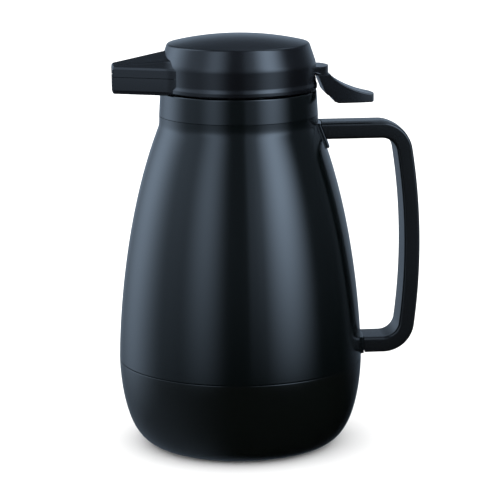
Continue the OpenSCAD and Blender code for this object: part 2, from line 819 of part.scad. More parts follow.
// Outline of a passage across the carafe, rounded, as [y, z]
function passage(half, z0, z1, r) = concat(
    arc([half - r, z0 + r], r, -90, 0, arc_steps),
    arc([half - r, z1 - r], r, 0, 90, arc_steps),
    arc([r - half, z1 - r], r, 90, 180, arc_steps),
    arc([r - half, z0 + r], r, 180, 270, arc_steps)
);

// The way for the drink: a tapered passage in the spout, and the duct inside the lid
module channel() {
    inner_half = duct_w / 2 - spout_wall;
    duct_floor = lid_z + spout_wall;
    duct_roof = duct_top - spout_wall;
    hull() {
        translate([tip_x - past, 0, 0]) rotate([90, 0, 90]) linear_extrude(fit) polygon(
            passage(spout_tip_w / 2 - spout_wall, spout_z + spout_wall, side_top_z - spout_wall / 4, spout_round)
        );
        translate([-cap_r, 0, 0]) rotate([90, 0, 90]) linear_extrude(fit) polygon(
            passage(inner_half, duct_floor, duct_roof, spout_wall)
        );
    }
    block(-cap_r, -duct_end - spout_wall, -inner_half, inner_half, duct_floor, duct_roof);
}

// Solid of the cap and the collar together, which the spout's outside stops at
module lid_form() {
    ring_solid(concat(
        [[0, collar_z], [collar_r + pass + fit, collar_z], [collar_r + pass + fit, lid_z]],
        cap_side(fit),
        [[0, rim_z]]
    ));
}

module spout_part(z0, z1) {
    difference() {
        union() {
            difference() {
                intersection() {
                    spout_form();
                    block(tip_x - past, 0, -spout_root_w, spout_root_w, z0, z1);
                }
                lid_form();
            }
            block(
                -cap_r - spout_drop - past, -duct_end, -duct_w / 2, duct_w / 2, max(z0, lid_z), min(z1, duct_top)
            );
        }
        channel();
    }
}

module spout_base() {
    color([0.09, 0.1, 0.12]) difference() {
        spout_part(spout_z - past, parting_z - fit / 2);
        block(
            -chamber_r, -duct_end - spout_wall, spout_wall - duct_w / 2, duct_w / 2 - spout_wall,
            lid_z - past, lid_z + spout_wall + past
        );
    }
}

module spout_hood() {
    color([0.1, 0.11, 0.14]) spout_part(parting_z + fit / 2, top_z);
}

// Stopper and valve

module stopper_body() {
    step_z = ledge_z + pass;
    groove_z = lip_z - gasket_drop;
    groove = gasket_h / 2 + running;
    color([0.13, 0.14, 0.15]) {
        ring_solid([
            [port_r, plug_z], [plug_r, plug_z], [plug_r, groove_z - groove],
            [plug_r - gasket_groove, groove_z - groove], [plug_r - gasket_groove, groove_z + groove],
            [plug_r, groove_z + groove], [plug_r, step_z], [sleeve_r, step_z], [sleeve_r, lid_z],
            [chamber_r, lid_z], [chamber_r, seat_z], [port_r, seat_z]
        ]);
        lugs(sleeve_r - pass, bore_r - lug_in - pass, ledge_z + 2 * pass);
    }
}

module stopper_gasket() {
    z = lip_z - gasket_drop;
    color([0.82, 0.82, 0.8])
        tube(mouth_r - pass, plug_r - gasket_groove + running, z - gasket_h / 2, z + gasket_h / 2);
}

module valve_seal() {
    color([0.82, 0.82, 0.8]) rod(valve_r - valve_seal_t / 2, seat_z + pass, disc_z);
}

module valve_disc() {
    color([0.3, 0.31, 0.32]) difference() {
        union() {
            rod(valve_r, disc_z, disc_z + valve_t);
            rod(hub_r, disc_z, hub_top);
        }
        rod(tenon_r + fit / 2, disc_z + valve_t / 2, hub_top + past);
    }
}

module valve_stem() {
    color([0.7, 0.7, 0.72]) {
        rod(tenon_r, hub_top - hub_h, hub_top);
        rod(stem_r, hub_top, nut_z);
        rod(tenon_r, nut_z, nut_z + nut_t);
    }
}

module stem_nut() {
    color([0.3, 0.31, 0.32]) difference() {
        rod(nut_r, nut_z, nut_z + nut_t);
        rod(tenon_r + fit / 2, nut_z - past, nut_z + nut_t + past);
    }
}

// The coil runs from the valve disc up to the lid's base
module valve_spring() {
    rings = spring_turns * turn_steps;
    points = [
        for (i = [0:rings], j = [0:wire_sides - 1])
            let (
                a = 360 * i / turn_steps,
                b = 360 * j / wire_sides,
                out = spring_r + wire_d / 2 * cos(b)
            )
            [out * cos(a), out * sin(a), spring_z0 + spring_pitch * i / turn_steps + wire_d / 2 * sin(b)]
    ];
    color([0.75, 0.75, 0.77]) skin(points, [[for (j = [0:wire_sides - 1]) j]]);
}

// Lever

module lever_pin() {
    color([0.75, 0.75, 0.77]) rod_y(pin_r, lever_w + 2 * (pass + ear_t), pin_x, pin_z);
}

// The dished slope that the thumb presses, from the knuckle's foot to the tip
function thumb_slope() =
    let (
        a = [knuckle_x + knuckle_lean, knuckle_top - knuckle_end_h],
        b = [paddle_x - tip_lean, knuckle_top - tip_drop],
        span = norm(b - a),
        r = (span * span / 4 + thumb_dish * thumb_dish) / (2 * thumb_dish),
        along = (b - a) / span,
        up = [-along[1], along[0]],
        centre = (a + b) / 2 + (r - thumb_dish) * up,
        half = asin(span / 2 / r),
        start = atan2(-up[1], -up[0])
    )
    arc(centre, r, start - half, start + half, bend_steps);

// The lever's outline from the side, from its barrel to the paddle's tip and back along the heel
function lever_outline() =
    let (
        under = knuckle_top - neck_t,
        bottom = knuckle_top - tip_drop - tip_h
    )
    concat(
        [[pin_x, under], [pin_x, knuckle_top], [knuckle_x, knuckle_top]],
        thumb_slope(),
        [[paddle_x, bottom], [knuckle_x + heel_reach, bottom], [knuckle_x + heel_step, bottom + heel_lift]],
        [[knuckle_x + heel_step / 2, bottom + heel_h], [knuckle_x, bottom + heel_h + heel_lift]],
        [[knuckle_x - heel_step / 2, bottom + heel_h + 2 * heel_lift], [cap_r + bead_out, under]]
    );

module thumb_lever() {
    bottom = knuckle_top - tip_drop - tip_h;
    split = knuckle_top - knuckle_end_h;
    slope = thumb_slope();
    color([0.1, 0.11, 0.13]) difference() {
        union() {
            intersection() {
                side_plate(lever_outline(), lever_w);
                union() {
                    plan_block(pin_x - pin_in, knuckle_x + knuckle_lean, lever_w, lever_round, split, knuckle_top);
                    plan_block(pin_x - pin_in, paddle_x, lever_w, lever_round, bottom, split);
                }
            }
            rod_y(knuckle_up, lever_w, pin_x, pin_z);
            for (side = [-1, 1]) {
                near = side > 0 ? fork_gap : -fork_gap - prong_w;
                block(0, pin_x, near, near + prong_w, knuckle_top - knuckle_up, knuckle_top);
                translate([0, near + prong_w / 2, knuckle_top + pass - nose_r]) rotate([90, 0, 0])
                    cylinder(r = nose_r, h = prong_w, center = true, $fn = round_fn);
            }
        }
        rod_y(pin_r + running, lever_w + past, pin_x, pin_z);
        side_plate(
            concat(
                [[slope[1][0], bottom - past]],
                [for (i = [1:bend_steps - 1]) slope[i] - [0, skin_t]],
                [[slope[bend_steps - 1][0], bottom - past]]
            ),
            lever_w - 2 * plate_side_t
        );
    }
}

outer_body();
base_cup();
neck_collar();
inner_flask();
outer_flask();
vacuum_seal();
neck_gasket();
base_cushion();
foot_pad();
handle_frame();
handle_cover();
handle_screws();
lid_cover();
lid_base();
lid_screws();
spout_base();
spout_hood();
stopper_body();
stopper_gasket();
valve_stem();
stem_nut();
valve_disc();
valve_seal();
stem_seal();
valve_spring();
lever_pin();
thumb_lever();
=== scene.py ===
"""Thermal carafe with a pouring stopper lid: its visible pieces, materials, light and camera."""

import math

import bmesh
import bpy
from bpy.props import FloatProperty, FloatVectorProperty, PointerProperty
from mathutils import Matrix, Vector


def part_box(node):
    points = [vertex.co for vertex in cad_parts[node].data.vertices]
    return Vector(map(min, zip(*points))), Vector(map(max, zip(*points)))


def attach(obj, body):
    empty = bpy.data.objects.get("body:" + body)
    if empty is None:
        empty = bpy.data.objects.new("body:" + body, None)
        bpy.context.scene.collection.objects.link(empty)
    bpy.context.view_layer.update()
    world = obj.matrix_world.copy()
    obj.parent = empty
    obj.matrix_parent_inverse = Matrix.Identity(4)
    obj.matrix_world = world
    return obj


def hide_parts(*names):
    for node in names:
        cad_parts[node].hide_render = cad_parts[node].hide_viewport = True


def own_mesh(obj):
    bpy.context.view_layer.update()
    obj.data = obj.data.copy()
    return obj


bl_info = {
    "name": "Thermal Carafe",
    "version": (1, 0, 0),
    "blender": (4, 5, 0),
    "location": "View3D > Sidebar > Carafe",
    "description": "Builds a thermal carafe with a pouring stopper lid around its packed frame",
    "category": "Object",
}

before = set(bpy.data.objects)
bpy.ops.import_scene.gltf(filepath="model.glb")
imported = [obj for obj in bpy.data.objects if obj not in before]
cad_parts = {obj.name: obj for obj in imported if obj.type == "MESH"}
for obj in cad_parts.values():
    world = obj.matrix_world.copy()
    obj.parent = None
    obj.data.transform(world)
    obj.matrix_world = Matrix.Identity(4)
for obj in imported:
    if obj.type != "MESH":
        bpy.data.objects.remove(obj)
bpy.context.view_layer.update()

MM = 0.001
X, Y, Z = range(3)
ORIGIN = Vector((0, 0, 0))
UP = Vector((0, 0, 1))
ACROSS = Vector((0, 1, 0))

# Steps round a full turn, along a long curve and round a small corner
TURN_STEPS = 192
CURVE_STEPS = 40
CORNER_STEPS = 4
ROD_STEPS = 48
BEND_STEPS = 24
# Faces that meet at more than this angle keep a sharp edge between them
SHARP_ANGLE = math.radians(32)

# Free space between pieces that fit in each other, and the soft edges at the seam
FIT = 0.15 * MM
SEAM_ROUND = 0.25 * MM
# The duct inside the lid: its outside across and over the cap's foot, and where it and its passage end
DUCT_HALF = 9 * MM
DUCT_HEIGHT = 11 * MM
DUCT_END = -10 * MM
PASSAGE_END = -11.8 * MM
# Sizes of the spring
WIRE_RADIUS = 0.6 * MM
SPRING_TURNS = 6


def low(node, axis):
    """Lowest place of a node of the frame along an axis."""
    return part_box(node)[0][axis]


def high(node, axis):
    """Highest place of a node of the frame along an axis."""
    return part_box(node)[1][axis]


def length(description, default):
    """A size that a user can change."""
    return FloatProperty(description=description, default=default, precision=4, unit="LENGTH")


def share(description, default):
    """A factor between nought and one that a user can change."""
    return FloatProperty(description=description, default=default, min=0.0, max=1.0, subtype="FACTOR")


def colour(description, default):
    """A colour that a user can change."""
    return FloatVectorProperty(
        description=description, default=default, size=3, min=0.0, max=1.0, subtype="COLOR"
    )


def angle(description, degrees):
    """An angle that a user can change."""
    return FloatProperty(description=description, default=math.radians(degrees), subtype="ANGLE")


class BodySizes(bpy.types.PropertyGroup):
    """Sizes of the shell, the base cup and the collar"""

    belly_radius: length("Widest radius of the body, at the seam", high("base_cup", Y))
    seam_height: length("Height of the seam over the table", low("outer_body", Z) - 0.3 * MM)
    seam_gap: length("Open line between the shell and the base cup", 0.3 * MM)
    belly_hold: length("Straight rise of the side below and above the seam", 5.5 * MM)
    swell_height: length("Pull of the shell's side, down from the shoulder", 54.6 * MM)
    swell_radius: length("Pull of the shell's side, outwards from the shoulder", 21 * MM)
    shoulder_height: length("Height of the curve into the collar", 8.2 * MM)
    shoulder_step: length("How much wider the shoulder is than the collar", 1.2 * MM)
    collar_radius: length("Radius of the collar at its foot", high("neck_collar", Y))
    collar_foot: length("Height of the collar's foot", high("outer_body", Z))
    collar_top: length("Height of the collar's top", high("neck_collar", Z))
    collar_taper: length("How far the collar draws in to its top", 0.8 * MM)
    wall: length("Thickness of the shell and the base cup", 2.2 * MM)
    foot_radius: length("Radius where the base curve starts", 45.5 * MM)
    foot_pull: length("Outward pull of the base curve", 19 * MM)
    foot_lift: length("Height of the base cup over the table", low("base_cup", Z))
    pad_radius: length("Radius of the foot pad", high("foot_pad", Y))
    pad_recess: length("Depth of the foot pad's recess", 1.2 * MM)


class HandleSizes(bpy.types.PropertyGroup):
    """Sizes of the handle"""

    width: length("Width of the bar, across the carafe", 2 * high("handle_frame", Y))
    thickness: length("Thickness of the bar", 8.5 * MM)
    grip_x: length("Place of the grip's middle", high("handle_frame", X) - 4.25 * MM)
    grip_z: length("Height of the bow's furthest point", 107 * MM)
    bow_radius: length("Radius of the grip's bow", 336 * MM)
    corner_radius: length("Bend radius of the corners", 12.8 * MM)
    upper_arm: length("Height of the upper arm's middle", 171.1 * MM)
    lower_arm: length("Height of the lower arm's middle", 52.8 * MM)
    outer_round: length("Rounding of the bar's outer edges", 1.3 * MM)
    inner_round: length("Rounding of the bar's inner edges", 1.6 * MM)
    rim: length("Width of the rim beside the strip", 1.6 * MM)
    channel: length("Depth of the strip's channel", 1.4 * MM)
    groove: length("Open line on each side of the strip", 0.7 * MM)
    crown: length("How far the strip swells over the bar's rim", 0.35 * MM)
    pad: length("Thickness of the pads on the body", 1.6 * MM)
    pad_gap: length("Open line between the handle's ends and the pads", 0.4 * MM)
    pad_show: length("How far the pads show over and under the arms", 0.3 * MM)
    pad_tail: length("How much further the upper pad reaches down", 4.3 * MM)


class LidSizes(bpy.types.PropertyGroup):
    """Sizes of the cap and the spout"""

    radius: length("Radius of the cap's wall", high("lid_cover", Y) - 0.6 * MM)
    foot: length("Height of the cap's lower edge", low("lid_cover", Z))
    top: length("Height of the dome's top", high("lid_cover", Z))
    wall: length("Thickness of the cap", 2.2 * MM)
    bead: length("How far the bead at the lower edge stands out", 0.6 * MM)
    bead_height: length("Height of the bead", 2.8 * MM)
    side: length("Height of the upright wall", 14 * MM)
    cone: length("Height of the cone over the wall", 10.3 * MM)
    cone_in: length("How far the cone draws in", 3.5 * MM)
    rim_round: length("Rounding between the cone and the dome", 1.6 * MM)
    tip_x: length("Place of the spout's tip", low("spout_base", X))
    spout_foot: length("Height of the spout's underside", low("spout_base", Z))
    spout_side: length("Height of the spout's straight side", 14.5 * MM)
    parting: length("Height of the parting line over the spout's underside", 9.2 * MM)
    tip_half: length("Half the width of the spout's tip", 7.6 * MM)
    root_half: length("Half the width of the spout at the cap", 20.5 * MM)
    tip_ridge: length("Height of the roof's ridge over the sides, at the tip", 1.5 * MM)
    root_ridge: length("Height of the roof's ridge over the sides, at the cap", 8.2 * MM)
    spout_wall: length("Thickness of the spout", 1.8 * MM)
    mouth_rim: length("Thickness of the spout at its mouth", 0.9 * MM)
    flare: length("Length of the curve by which the spout's side meets the cap", 5 * MM)
    lid_screw_place: length("Distance of the lid screws from the axis", 22 * MM)


class LeverSizes(bpy.types.PropertyGroup):
    """Sizes of the thumb lever"""

    width: length("Width of the lever", 2 * high("thumb_lever", Y))
    pin_x: length("Distance of the pin from the axis", 34.5 * MM)
    top: length("Height of the knuckle's top", 206 * MM)
    knuckle_x: length("Place of the knuckle's upright end", 48 * MM)
    knuckle_height: length("Height of the knuckle's upright end", 4 * MM)
    knuckle_lean: length("Lean of the knuckle's end", 0.4 * MM)
    neck: length("Thickness of the lever where it passes the cap", 4.6 * MM)
    tip_x: length("Place of the paddle's tip", high("thumb_lever", X))
    tip_drop: length("Drop of the paddle's tip below the knuckle's top", 15.6 * MM)
    bottom: length("Height of the paddle's underside", low("thumb_lever", Z))
    tip_half: length("Half the width of the paddle before its rounded end", 8.7 * MM)
    tip_bow: length("How far the paddle's end bows out", 2.2 * MM)
    knuckle_bow: length("How far the knuckle's end bows out", 3.8 * MM)
    edge_round: length("Rounding of the long edges", 0.6 * MM)
    heel_reach: length("Length of the heel's sloping underside", 5 * MM)
    heel_step: length("Length of the notch at the heel", 2.8 * MM)
    heel_height: length("Height of the heel's notch", 3.2 * MM)
    heel_lift: length("Rise of each short run of the heel's underside", 0.8 * MM)
    skin: length("Thickness of the paddle's top", 2.2 * MM)
    side: length("Thickness of the paddle's side plates", 2 * MM)
    fork_gap: length("Distance of each prong from the middle plane", 4.2 * MM)
    prong: length("Width of each prong", 3 * MM)
    pin_radius: length("Radius of the lever's pin", 1.5 * MM)
    barrel_radius: length("Radius of the lever round its pin", 2.8 * MM)


class Looks(bpy.types.PropertyGroup):
    """Colours and gloss of the surfaces"""

    shell_colour: colour("Colour of the glossy shell", (0.0009, 0.0017, 0.0018))
    shell_gloss: share("Roughness of the glossy shell", 0.15)
    base_colour: colour("Colour of the base cup", (0.0015, 0.0021, 0.0019))
    lid_colour: colour("Colour of the satin lid", (0.0016, 0.0019, 0.0028))
    lid_gloss: share("Roughness of the satin lid", 0.22)
    handle_colour: colour("Colour of the handle", (0.0020, 0.0026, 0.0030))
    handle_gloss: share("Roughness of the handle", 0.24)
    inner_colour: colour("Colour of the plastic inside the lid", (0.03, 0.031, 0.034))
    steel_colour: colour("Colour of the flask's steel", (0.62, 0.63, 0.64))
    silicone_colour: colour("Colour of the seals", (0.72, 0.72, 0.69))
    rubber_colour: colour("Colour of the foot pad", (0.02, 0.02, 0.021))


class StageSettings(bpy.types.PropertyGroup):
    """Camera, floor and light"""

    camera_distance: length("Level distance of the camera from the axis", 1200 * MM)
    camera_height: length("Height of the camera over the table", 354.3 * MM)
    turn: angle("How far the spout is turned towards the camera", 5.5)
    pan: angle("How far the camera looks past the axis", 0.269)
    tilt: angle("How far the camera looks down", 11.71)
    roll: angle("How far the camera leans", -0.403)
    lens: FloatProperty(description="Focal length in millimetres", default=162.3, min=1.0)
    even_light: FloatProperty(description="Strength of the even light", default=1.75, min=0.0)
    room: FloatProperty(description="Strength of the dim room in the gloss", default=0.15, min=0.0)
    tint: colour("Colour of the soft boxes", (0.61, 0.78, 1.0))


# Meshes


def bezier(a, b, c, d, steps):
    """Points of a cubic curve, after its start."""
    points = []
    for i in range(1, steps + 1):
        t = i / steps
        s = 1 - t
        points.append(a * s**3 + b * 3 * s * s * t + c * 3 * s * t * t + d * t**3)
    return points


def rounded(corners, steps=CORNER_STEPS):
    """Outline through (x, y, radius) corners, each rounded by its radius, as a closed loop of points."""
    points = []
    for i, (x, y, radius) in enumerate(corners):
        corner = Vector((x, y))
        if not radius:
            points.append(corner)
            continue
        before = (Vector(corners[i - 1][:2]) - corner).normalized()
        after = (Vector(corners[(i + 1) % len(corners)][:2]) - corner).normalized()
        inside = before.angle(after)
        run = radius / math.tan(inside / 2)
        pull = run - radius * math.tan((math.pi - inside) / 4) * 4 / 3
        start, end = corner + before * run, corner + after * run
        points.append(start)
        points.extend(bezier(start, corner + before * pull, corner + after * pull, end, steps))
    return points


def closed_loop(bm, places):
    """A ring of new vertices and edges through places."""
    ring = [bm.verts.new(place) for place in places]
    return [bm.edges.new(pair) for pair in zip(ring, ring[1:] + ring[:1])]


def mirrored(corners, *middle):
    """Rounded outline of corners on one side, those in the middle, and the same corners on the other side."""
    return rounded([*corners, *middle, *((-y, z, radius) for y, z, radius in reversed(corners))])


def edges_of(geometry):
    """The edges in what an operator gives back."""
    return [part for part in geometry if isinstance(part, bmesh.types.BMEdge)]


def draw_out(bm, faces, travel):
    """Extrudes faces and moves the new ones."""
    thick = bmesh.ops.extrude_face_region(bm, geom=faces)
    moved = [part for part in thick["geom"] if isinstance(part, bmesh.types.BMVert)]
    bmesh.ops.translate(bm, vec=travel, verts=moved)


def tidy(bm):
    """Merges doubles and turns the faces outwards."""
    bmesh.ops.remove_doubles(bm, verts=bm.verts, dist=0.002 * MM)
    bmesh.ops.recalc_face_normals(bm, faces=bm.faces)
    return bm


def turned(outline):
    """Solid of revolution about the carafe's axis, from an outline of (radius, height)."""
    bm = bmesh.new()
    ring = closed_loop(bm, [(p.x, 0, p.y) for p in outline])
    bmesh.ops.spin(
        bm, geom=ring, cent=ORIGIN, axis=UP, angle=math.tau, steps=TURN_STEPS,
        use_merge=True, use_duplicate=False,
    )
    return tidy(bm)


def lofted(rings):
    """Closed solid through rings of places that all have the same number of points."""
    bm = bmesh.new()
    loops = [closed_loop(bm, places) for places in rings]
    for near, far in zip(loops, loops[1:]):
        bmesh.ops.bridge_loops(bm, edges=near + far)
    for end in (loops[0], loops[-1]):
        bmesh.ops.contextual_create(bm, geom=end)
    return tidy(bm)


def bare_block(low_corner, high_corner):
    """A plain box between two corners, used as a cutter."""
    bm = bmesh.new()
    bmesh.ops.create_cube(bm, size=1)
    size = Vector(high_corner) - Vector(low_corner)
    middle = (Vector(high_corner) + Vector(low_corner)) / 2
    matrix = Matrix.Translation(middle) @ Matrix.Diagonal(size.to_4d())
    bmesh.ops.transform(bm, matrix=matrix, verts=bm.verts)
    return bm


def rod(radius, low_end, high_end):
    """A cylinder along Z or Y between the middles of its two ends."""
    bm = bmesh.new()
    along = Vector(high_end) - Vector(low_end)
    turn = along.to_track_quat("Z", "Y").to_matrix().to_4x4()
    matrix = Matrix.Translation((Vector(low_end) + Vector(high_end)) / 2) @ turn
    bmesh.ops.create_cone(
        bm, cap_ends=True, segments=ROD_STEPS, radius1=radius, radius2=radius, depth=along.length,
        matrix=matrix,
    )
    return bm


def extruded(outline, start, travel):
    """A solid from a flat outline of places, moved by a start and drawn out by a travel."""
    bm = bmesh.new()
    ring = closed_loop(bm, [Vector(place) + Vector(start) for place in outline])
    face = bmesh.ops.contextual_create(bm, geom=ring)["faces"]
    draw_out(bm, face, travel)
    return tidy(bm)


def sector(outline, start, sweep):
    """Part of a ring about the carafe's axis, from an outline of (radius, height) and two angles."""
    bm = bmesh.new()
    ring = closed_loop(bm, [(p.x, 0, p.y) for p in outline])
    made = bmesh.ops.spin(
        bm, geom=ring, cent=ORIGIN, axis=UP, angle=sweep, steps=16, use_merge=False, use_duplicate=False
    )
    for end in (ring, edges_of(made["geom_last"])):
        bmesh.ops.contextual_create(bm, geom=end)
    bmesh.ops.rotate(bm, cent=ORIGIN, matrix=Matrix.Rotation(start, 3, "Z"), verts=bm.verts)
    return tidy(bm)


def new_object(name, bm):
    """A new object with a mesh of the same name. The mesh takes over the data, which is freed."""
    mesh = bpy.data.meshes.new(name)
    bm.to_mesh(mesh)
    bm.free()
    made = bpy.data.objects.new(name, mesh)
    bpy.context.scene.collection.objects.link(made)
    return made


def combined(bm, tools, operation="DIFFERENCE"):
    """The mesh after the tools are cut from it or joined to it."""
    base = new_object("working", bm)
    used = [new_object("working", tool) for tool in tools]
    for tool in used:
        modifier = base.modifiers.new("combine", "BOOLEAN")
        modifier.operation = operation
        modifier.solver = "EXACT"
        modifier.object = tool
    result = bmesh.new()
    result.from_object(base, bpy.context.evaluated_depsgraph_get())
    for made in (base, *used):
        mesh = made.data
        bpy.data.objects.remove(made)
        bpy.data.meshes.remove(mesh)
    return tidy(result)


def add_piece(bm, name, body, slot, material, *nodes):
    """Makes a finished piece that rides on a body and stands for nodes of the frame."""
    for face in bm.faces:
        face.smooth = True
        face.material_index = 0
    for edge in bm.edges:
        edge.smooth = not (edge.is_manifold and edge.calc_face_angle(0) > SHARP_ANGLE)
    piece = new_object(name, bm)
    piece.data.materials.append(bpy.data.materials[material])
    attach(piece, body)
    if nodes:
        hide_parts(*nodes)
    flats = piece.modifiers.new("flats", "WEIGHTED_NORMAL")
    flats.keep_sharp = True
    return piece


# The body's curves


def upper_side(sizes, out=0.0):
    """The shell's side from the seam to the collar's foot, as (radius, height), moved out by a distance."""
    shoulder = Vector((sizes.collar_radius + sizes.shoulder_step, sizes.collar_foot - sizes.shoulder_height))
    rise = sizes.shoulder_step * sizes.swell_height / sizes.swell_radius
    start = Vector((sizes.belly_radius, sizes.seam_height))
    neck = Vector((sizes.collar_radius, shoulder.y + rise))
    end = Vector((sizes.collar_radius, sizes.collar_foot))
    swell = shoulder + Vector((sizes.swell_radius, -sizes.swell_height))
    hold = start + Vector((0, sizes.belly_hold))
    points = [start] + bezier(start, hold, swell, shoulder, 2 * CURVE_STEPS)
    points += bezier(shoulder, neck, neck, end, CURVE_STEPS // 2)
    return [p + Vector((out, 0)) for p in points]


def lower_side(sizes, floor, out=0.0):
    """The base's curve from a flat floor up to the seam, as (radius, height), moved out by a distance."""
    start = Vector((sizes.foot_radius, floor))
    end = Vector((sizes.belly_radius, sizes.seam_height))
    pull = start + Vector((sizes.foot_pull, 0))
    points = [start] + bezier(start, pull, end - Vector((0, sizes.belly_hold)), end, CURVE_STEPS)
    return [p + Vector((out, 0)) for p in points]


def read_curve(points, place):
    """Second coordinate of a curve at a place along its first."""
    for a, b in zip(points, points[1:]):
        if a.x <= place <= b.x:
            return a.y + (b.y - a.y) * (place - a.x) / (b.x - a.x)
    raise ValueError("the place is off the curve")


def shell_radius(sizes, height):
    """Radius of the shell's outside at a height over the seam."""
    return read_curve([p.yx for p in upper_side(sizes)], height)


# Materials


def new_group(name, inputs, outputs):
    """A shader node group with named float inputs and outputs, and its two end nodes."""
    tree = bpy.data.node_groups.new(name, "ShaderNodeTree")
    for label, value in inputs.items():
        socket = tree.interface.new_socket(label, in_out="INPUT", socket_type="NodeSocketFloat")
        socket.default_value = value
    for label in outputs:
        tree.interface.new_socket(label, in_out="OUTPUT", socket_type="NodeSocketFloat")
    return tree, tree.nodes.new("NodeGroupInput"), tree.nodes.new("NodeGroupOutput")


def add_node(tree, kind, settings=None, inputs=None):
    """A node with its settings made, and its sockets given values or links."""
    node = tree.nodes.new(kind)
    for name, value in (settings or {}).items():
        setattr(node, name, value)
    for name, value in (inputs or {}).items():
        if isinstance(value, bpy.types.NodeSocket):
            tree.links.new(value, node.inputs[name])
        else:
            node.inputs[name].default_value = value
    return node


def sum_node(tree, operation, first, second=0.0, third=0.0):
    """The result of one sum of values or links."""
    sockets = {0: first, 1: second, 2: third}
    return add_node(tree, "ShaderNodeMath", {"operation": operation}, sockets).outputs[0]


def smooth_step(tree, value, start, end, top=1.0):
    """Goes smoothly from nought at the start to the top at the end."""
    sockets = {"Value": value, "From Min": start, "From Max": end, "To Min": 0.0, "To Max": top}
    settings = {"interpolation_type": "SMOOTHSTEP", "clamp": True}
    return add_node(tree, "ShaderNodeMapRange", settings, sockets).outputs["Result"]


def noise(tree, place, scale, detail, roughness):
    """The value of a noise."""
    sockets = {"Vector": place, "Scale": scale, "Detail": detail, "Roughness": roughness}
    return add_node(tree, "ShaderNodeTexNoise", None, sockets).outputs["Fac"]


def lead_out(tree, source, sink, change, height):
    """Leads out the height, and the roughness after a noise has changed it."""
    sockets = {"Value": change, "From Min": 0.3, "From Max": 0.7, "To Min": -1.0, "To Max": 1.0}
    swing = add_node(tree, "ShaderNodeMapRange", {"clamp": True}, sockets).outputs["Result"]
    gloss = sum_node(tree, "MULTIPLY_ADD", swing, source.outputs["Gloss Change"], source.outputs["Roughness"])
    tree.links.new(gloss, sink.inputs["Roughness"])
    tree.links.new(height, sink.inputs["Height"])


def moulded_group():
    """Moulded plastic: a fine skin, a slow ripple of the wall and faint changes of gloss from handling."""
    inputs = {
        "Grain Scale": 900.0, "Ripple Scale": 30.0, "Ripple": 0.3, "Roughness": 0.2, "Gloss Change": 0.03
    }
    tree, source, sink = new_group("Moulded Surface", inputs, ("Roughness", "Height"))
    place = add_node(tree, "ShaderNodeTexCoord").outputs["Object"]
    grain = noise(tree, place, source.outputs["Grain Scale"], 2.0, 0.5)
    ripple = noise(tree, place, source.outputs["Ripple Scale"], 1.0, 0.4)
    waves = sum_node(tree, "MULTIPLY", ripple, source.outputs["Ripple"])
    height = sum_node(tree, "MULTIPLY_ADD", grain, 0.1, waves)
    lead_out(tree, source, sink, noise(tree, place, 26.0, 4.0, 0.6), height)


def brushed_group():
    """Spun or drawn metal: fine lines round the axis, and the gloss that goes with them."""
    inputs = {"Line Scale": 1400.0, "Roughness": 0.25, "Gloss Change": 0.08}
    tree, source, sink = new_group("Brushed Surface", inputs, ("Roughness", "Height"))
    place = add_node(tree, "ShaderNodeTexCoord").outputs["Object"]
    stretched = add_node(tree, "ShaderNodeMapping", None, {"Vector": place, "Scale": (0.02, 0.02, 1.0)})
    lines = noise(tree, stretched.outputs[0], source.outputs["Line Scale"], 3.0, 0.6)
    lead_out(tree, source, sink, lines, lines)


def add_material(name, base, group, values, bump, metallic=0.0):
    """A material whose gloss and bump come from a surface group."""
    material = bpy.data.materials.new(name)
    material.use_nodes = True
    tree = material.node_tree
    shader = tree.nodes["Principled BSDF"]
    skin = add_node(tree, "ShaderNodeGroup", {"node_tree": bpy.data.node_groups[group]}, values)
    sockets = {"Strength": bump, "Distance": 0.1 * MM, "Height": skin.outputs["Height"]}
    relief = add_node(tree, "ShaderNodeBump", None, sockets)
    shader.inputs["Base Color"].default_value = (*base, 1.0)
    shader.inputs["Metallic"].default_value = metallic
    tree.links.new(skin.outputs["Roughness"], shader.inputs["Roughness"])
    tree.links.new(relief.outputs["Normal"], shader.inputs["Normal"])


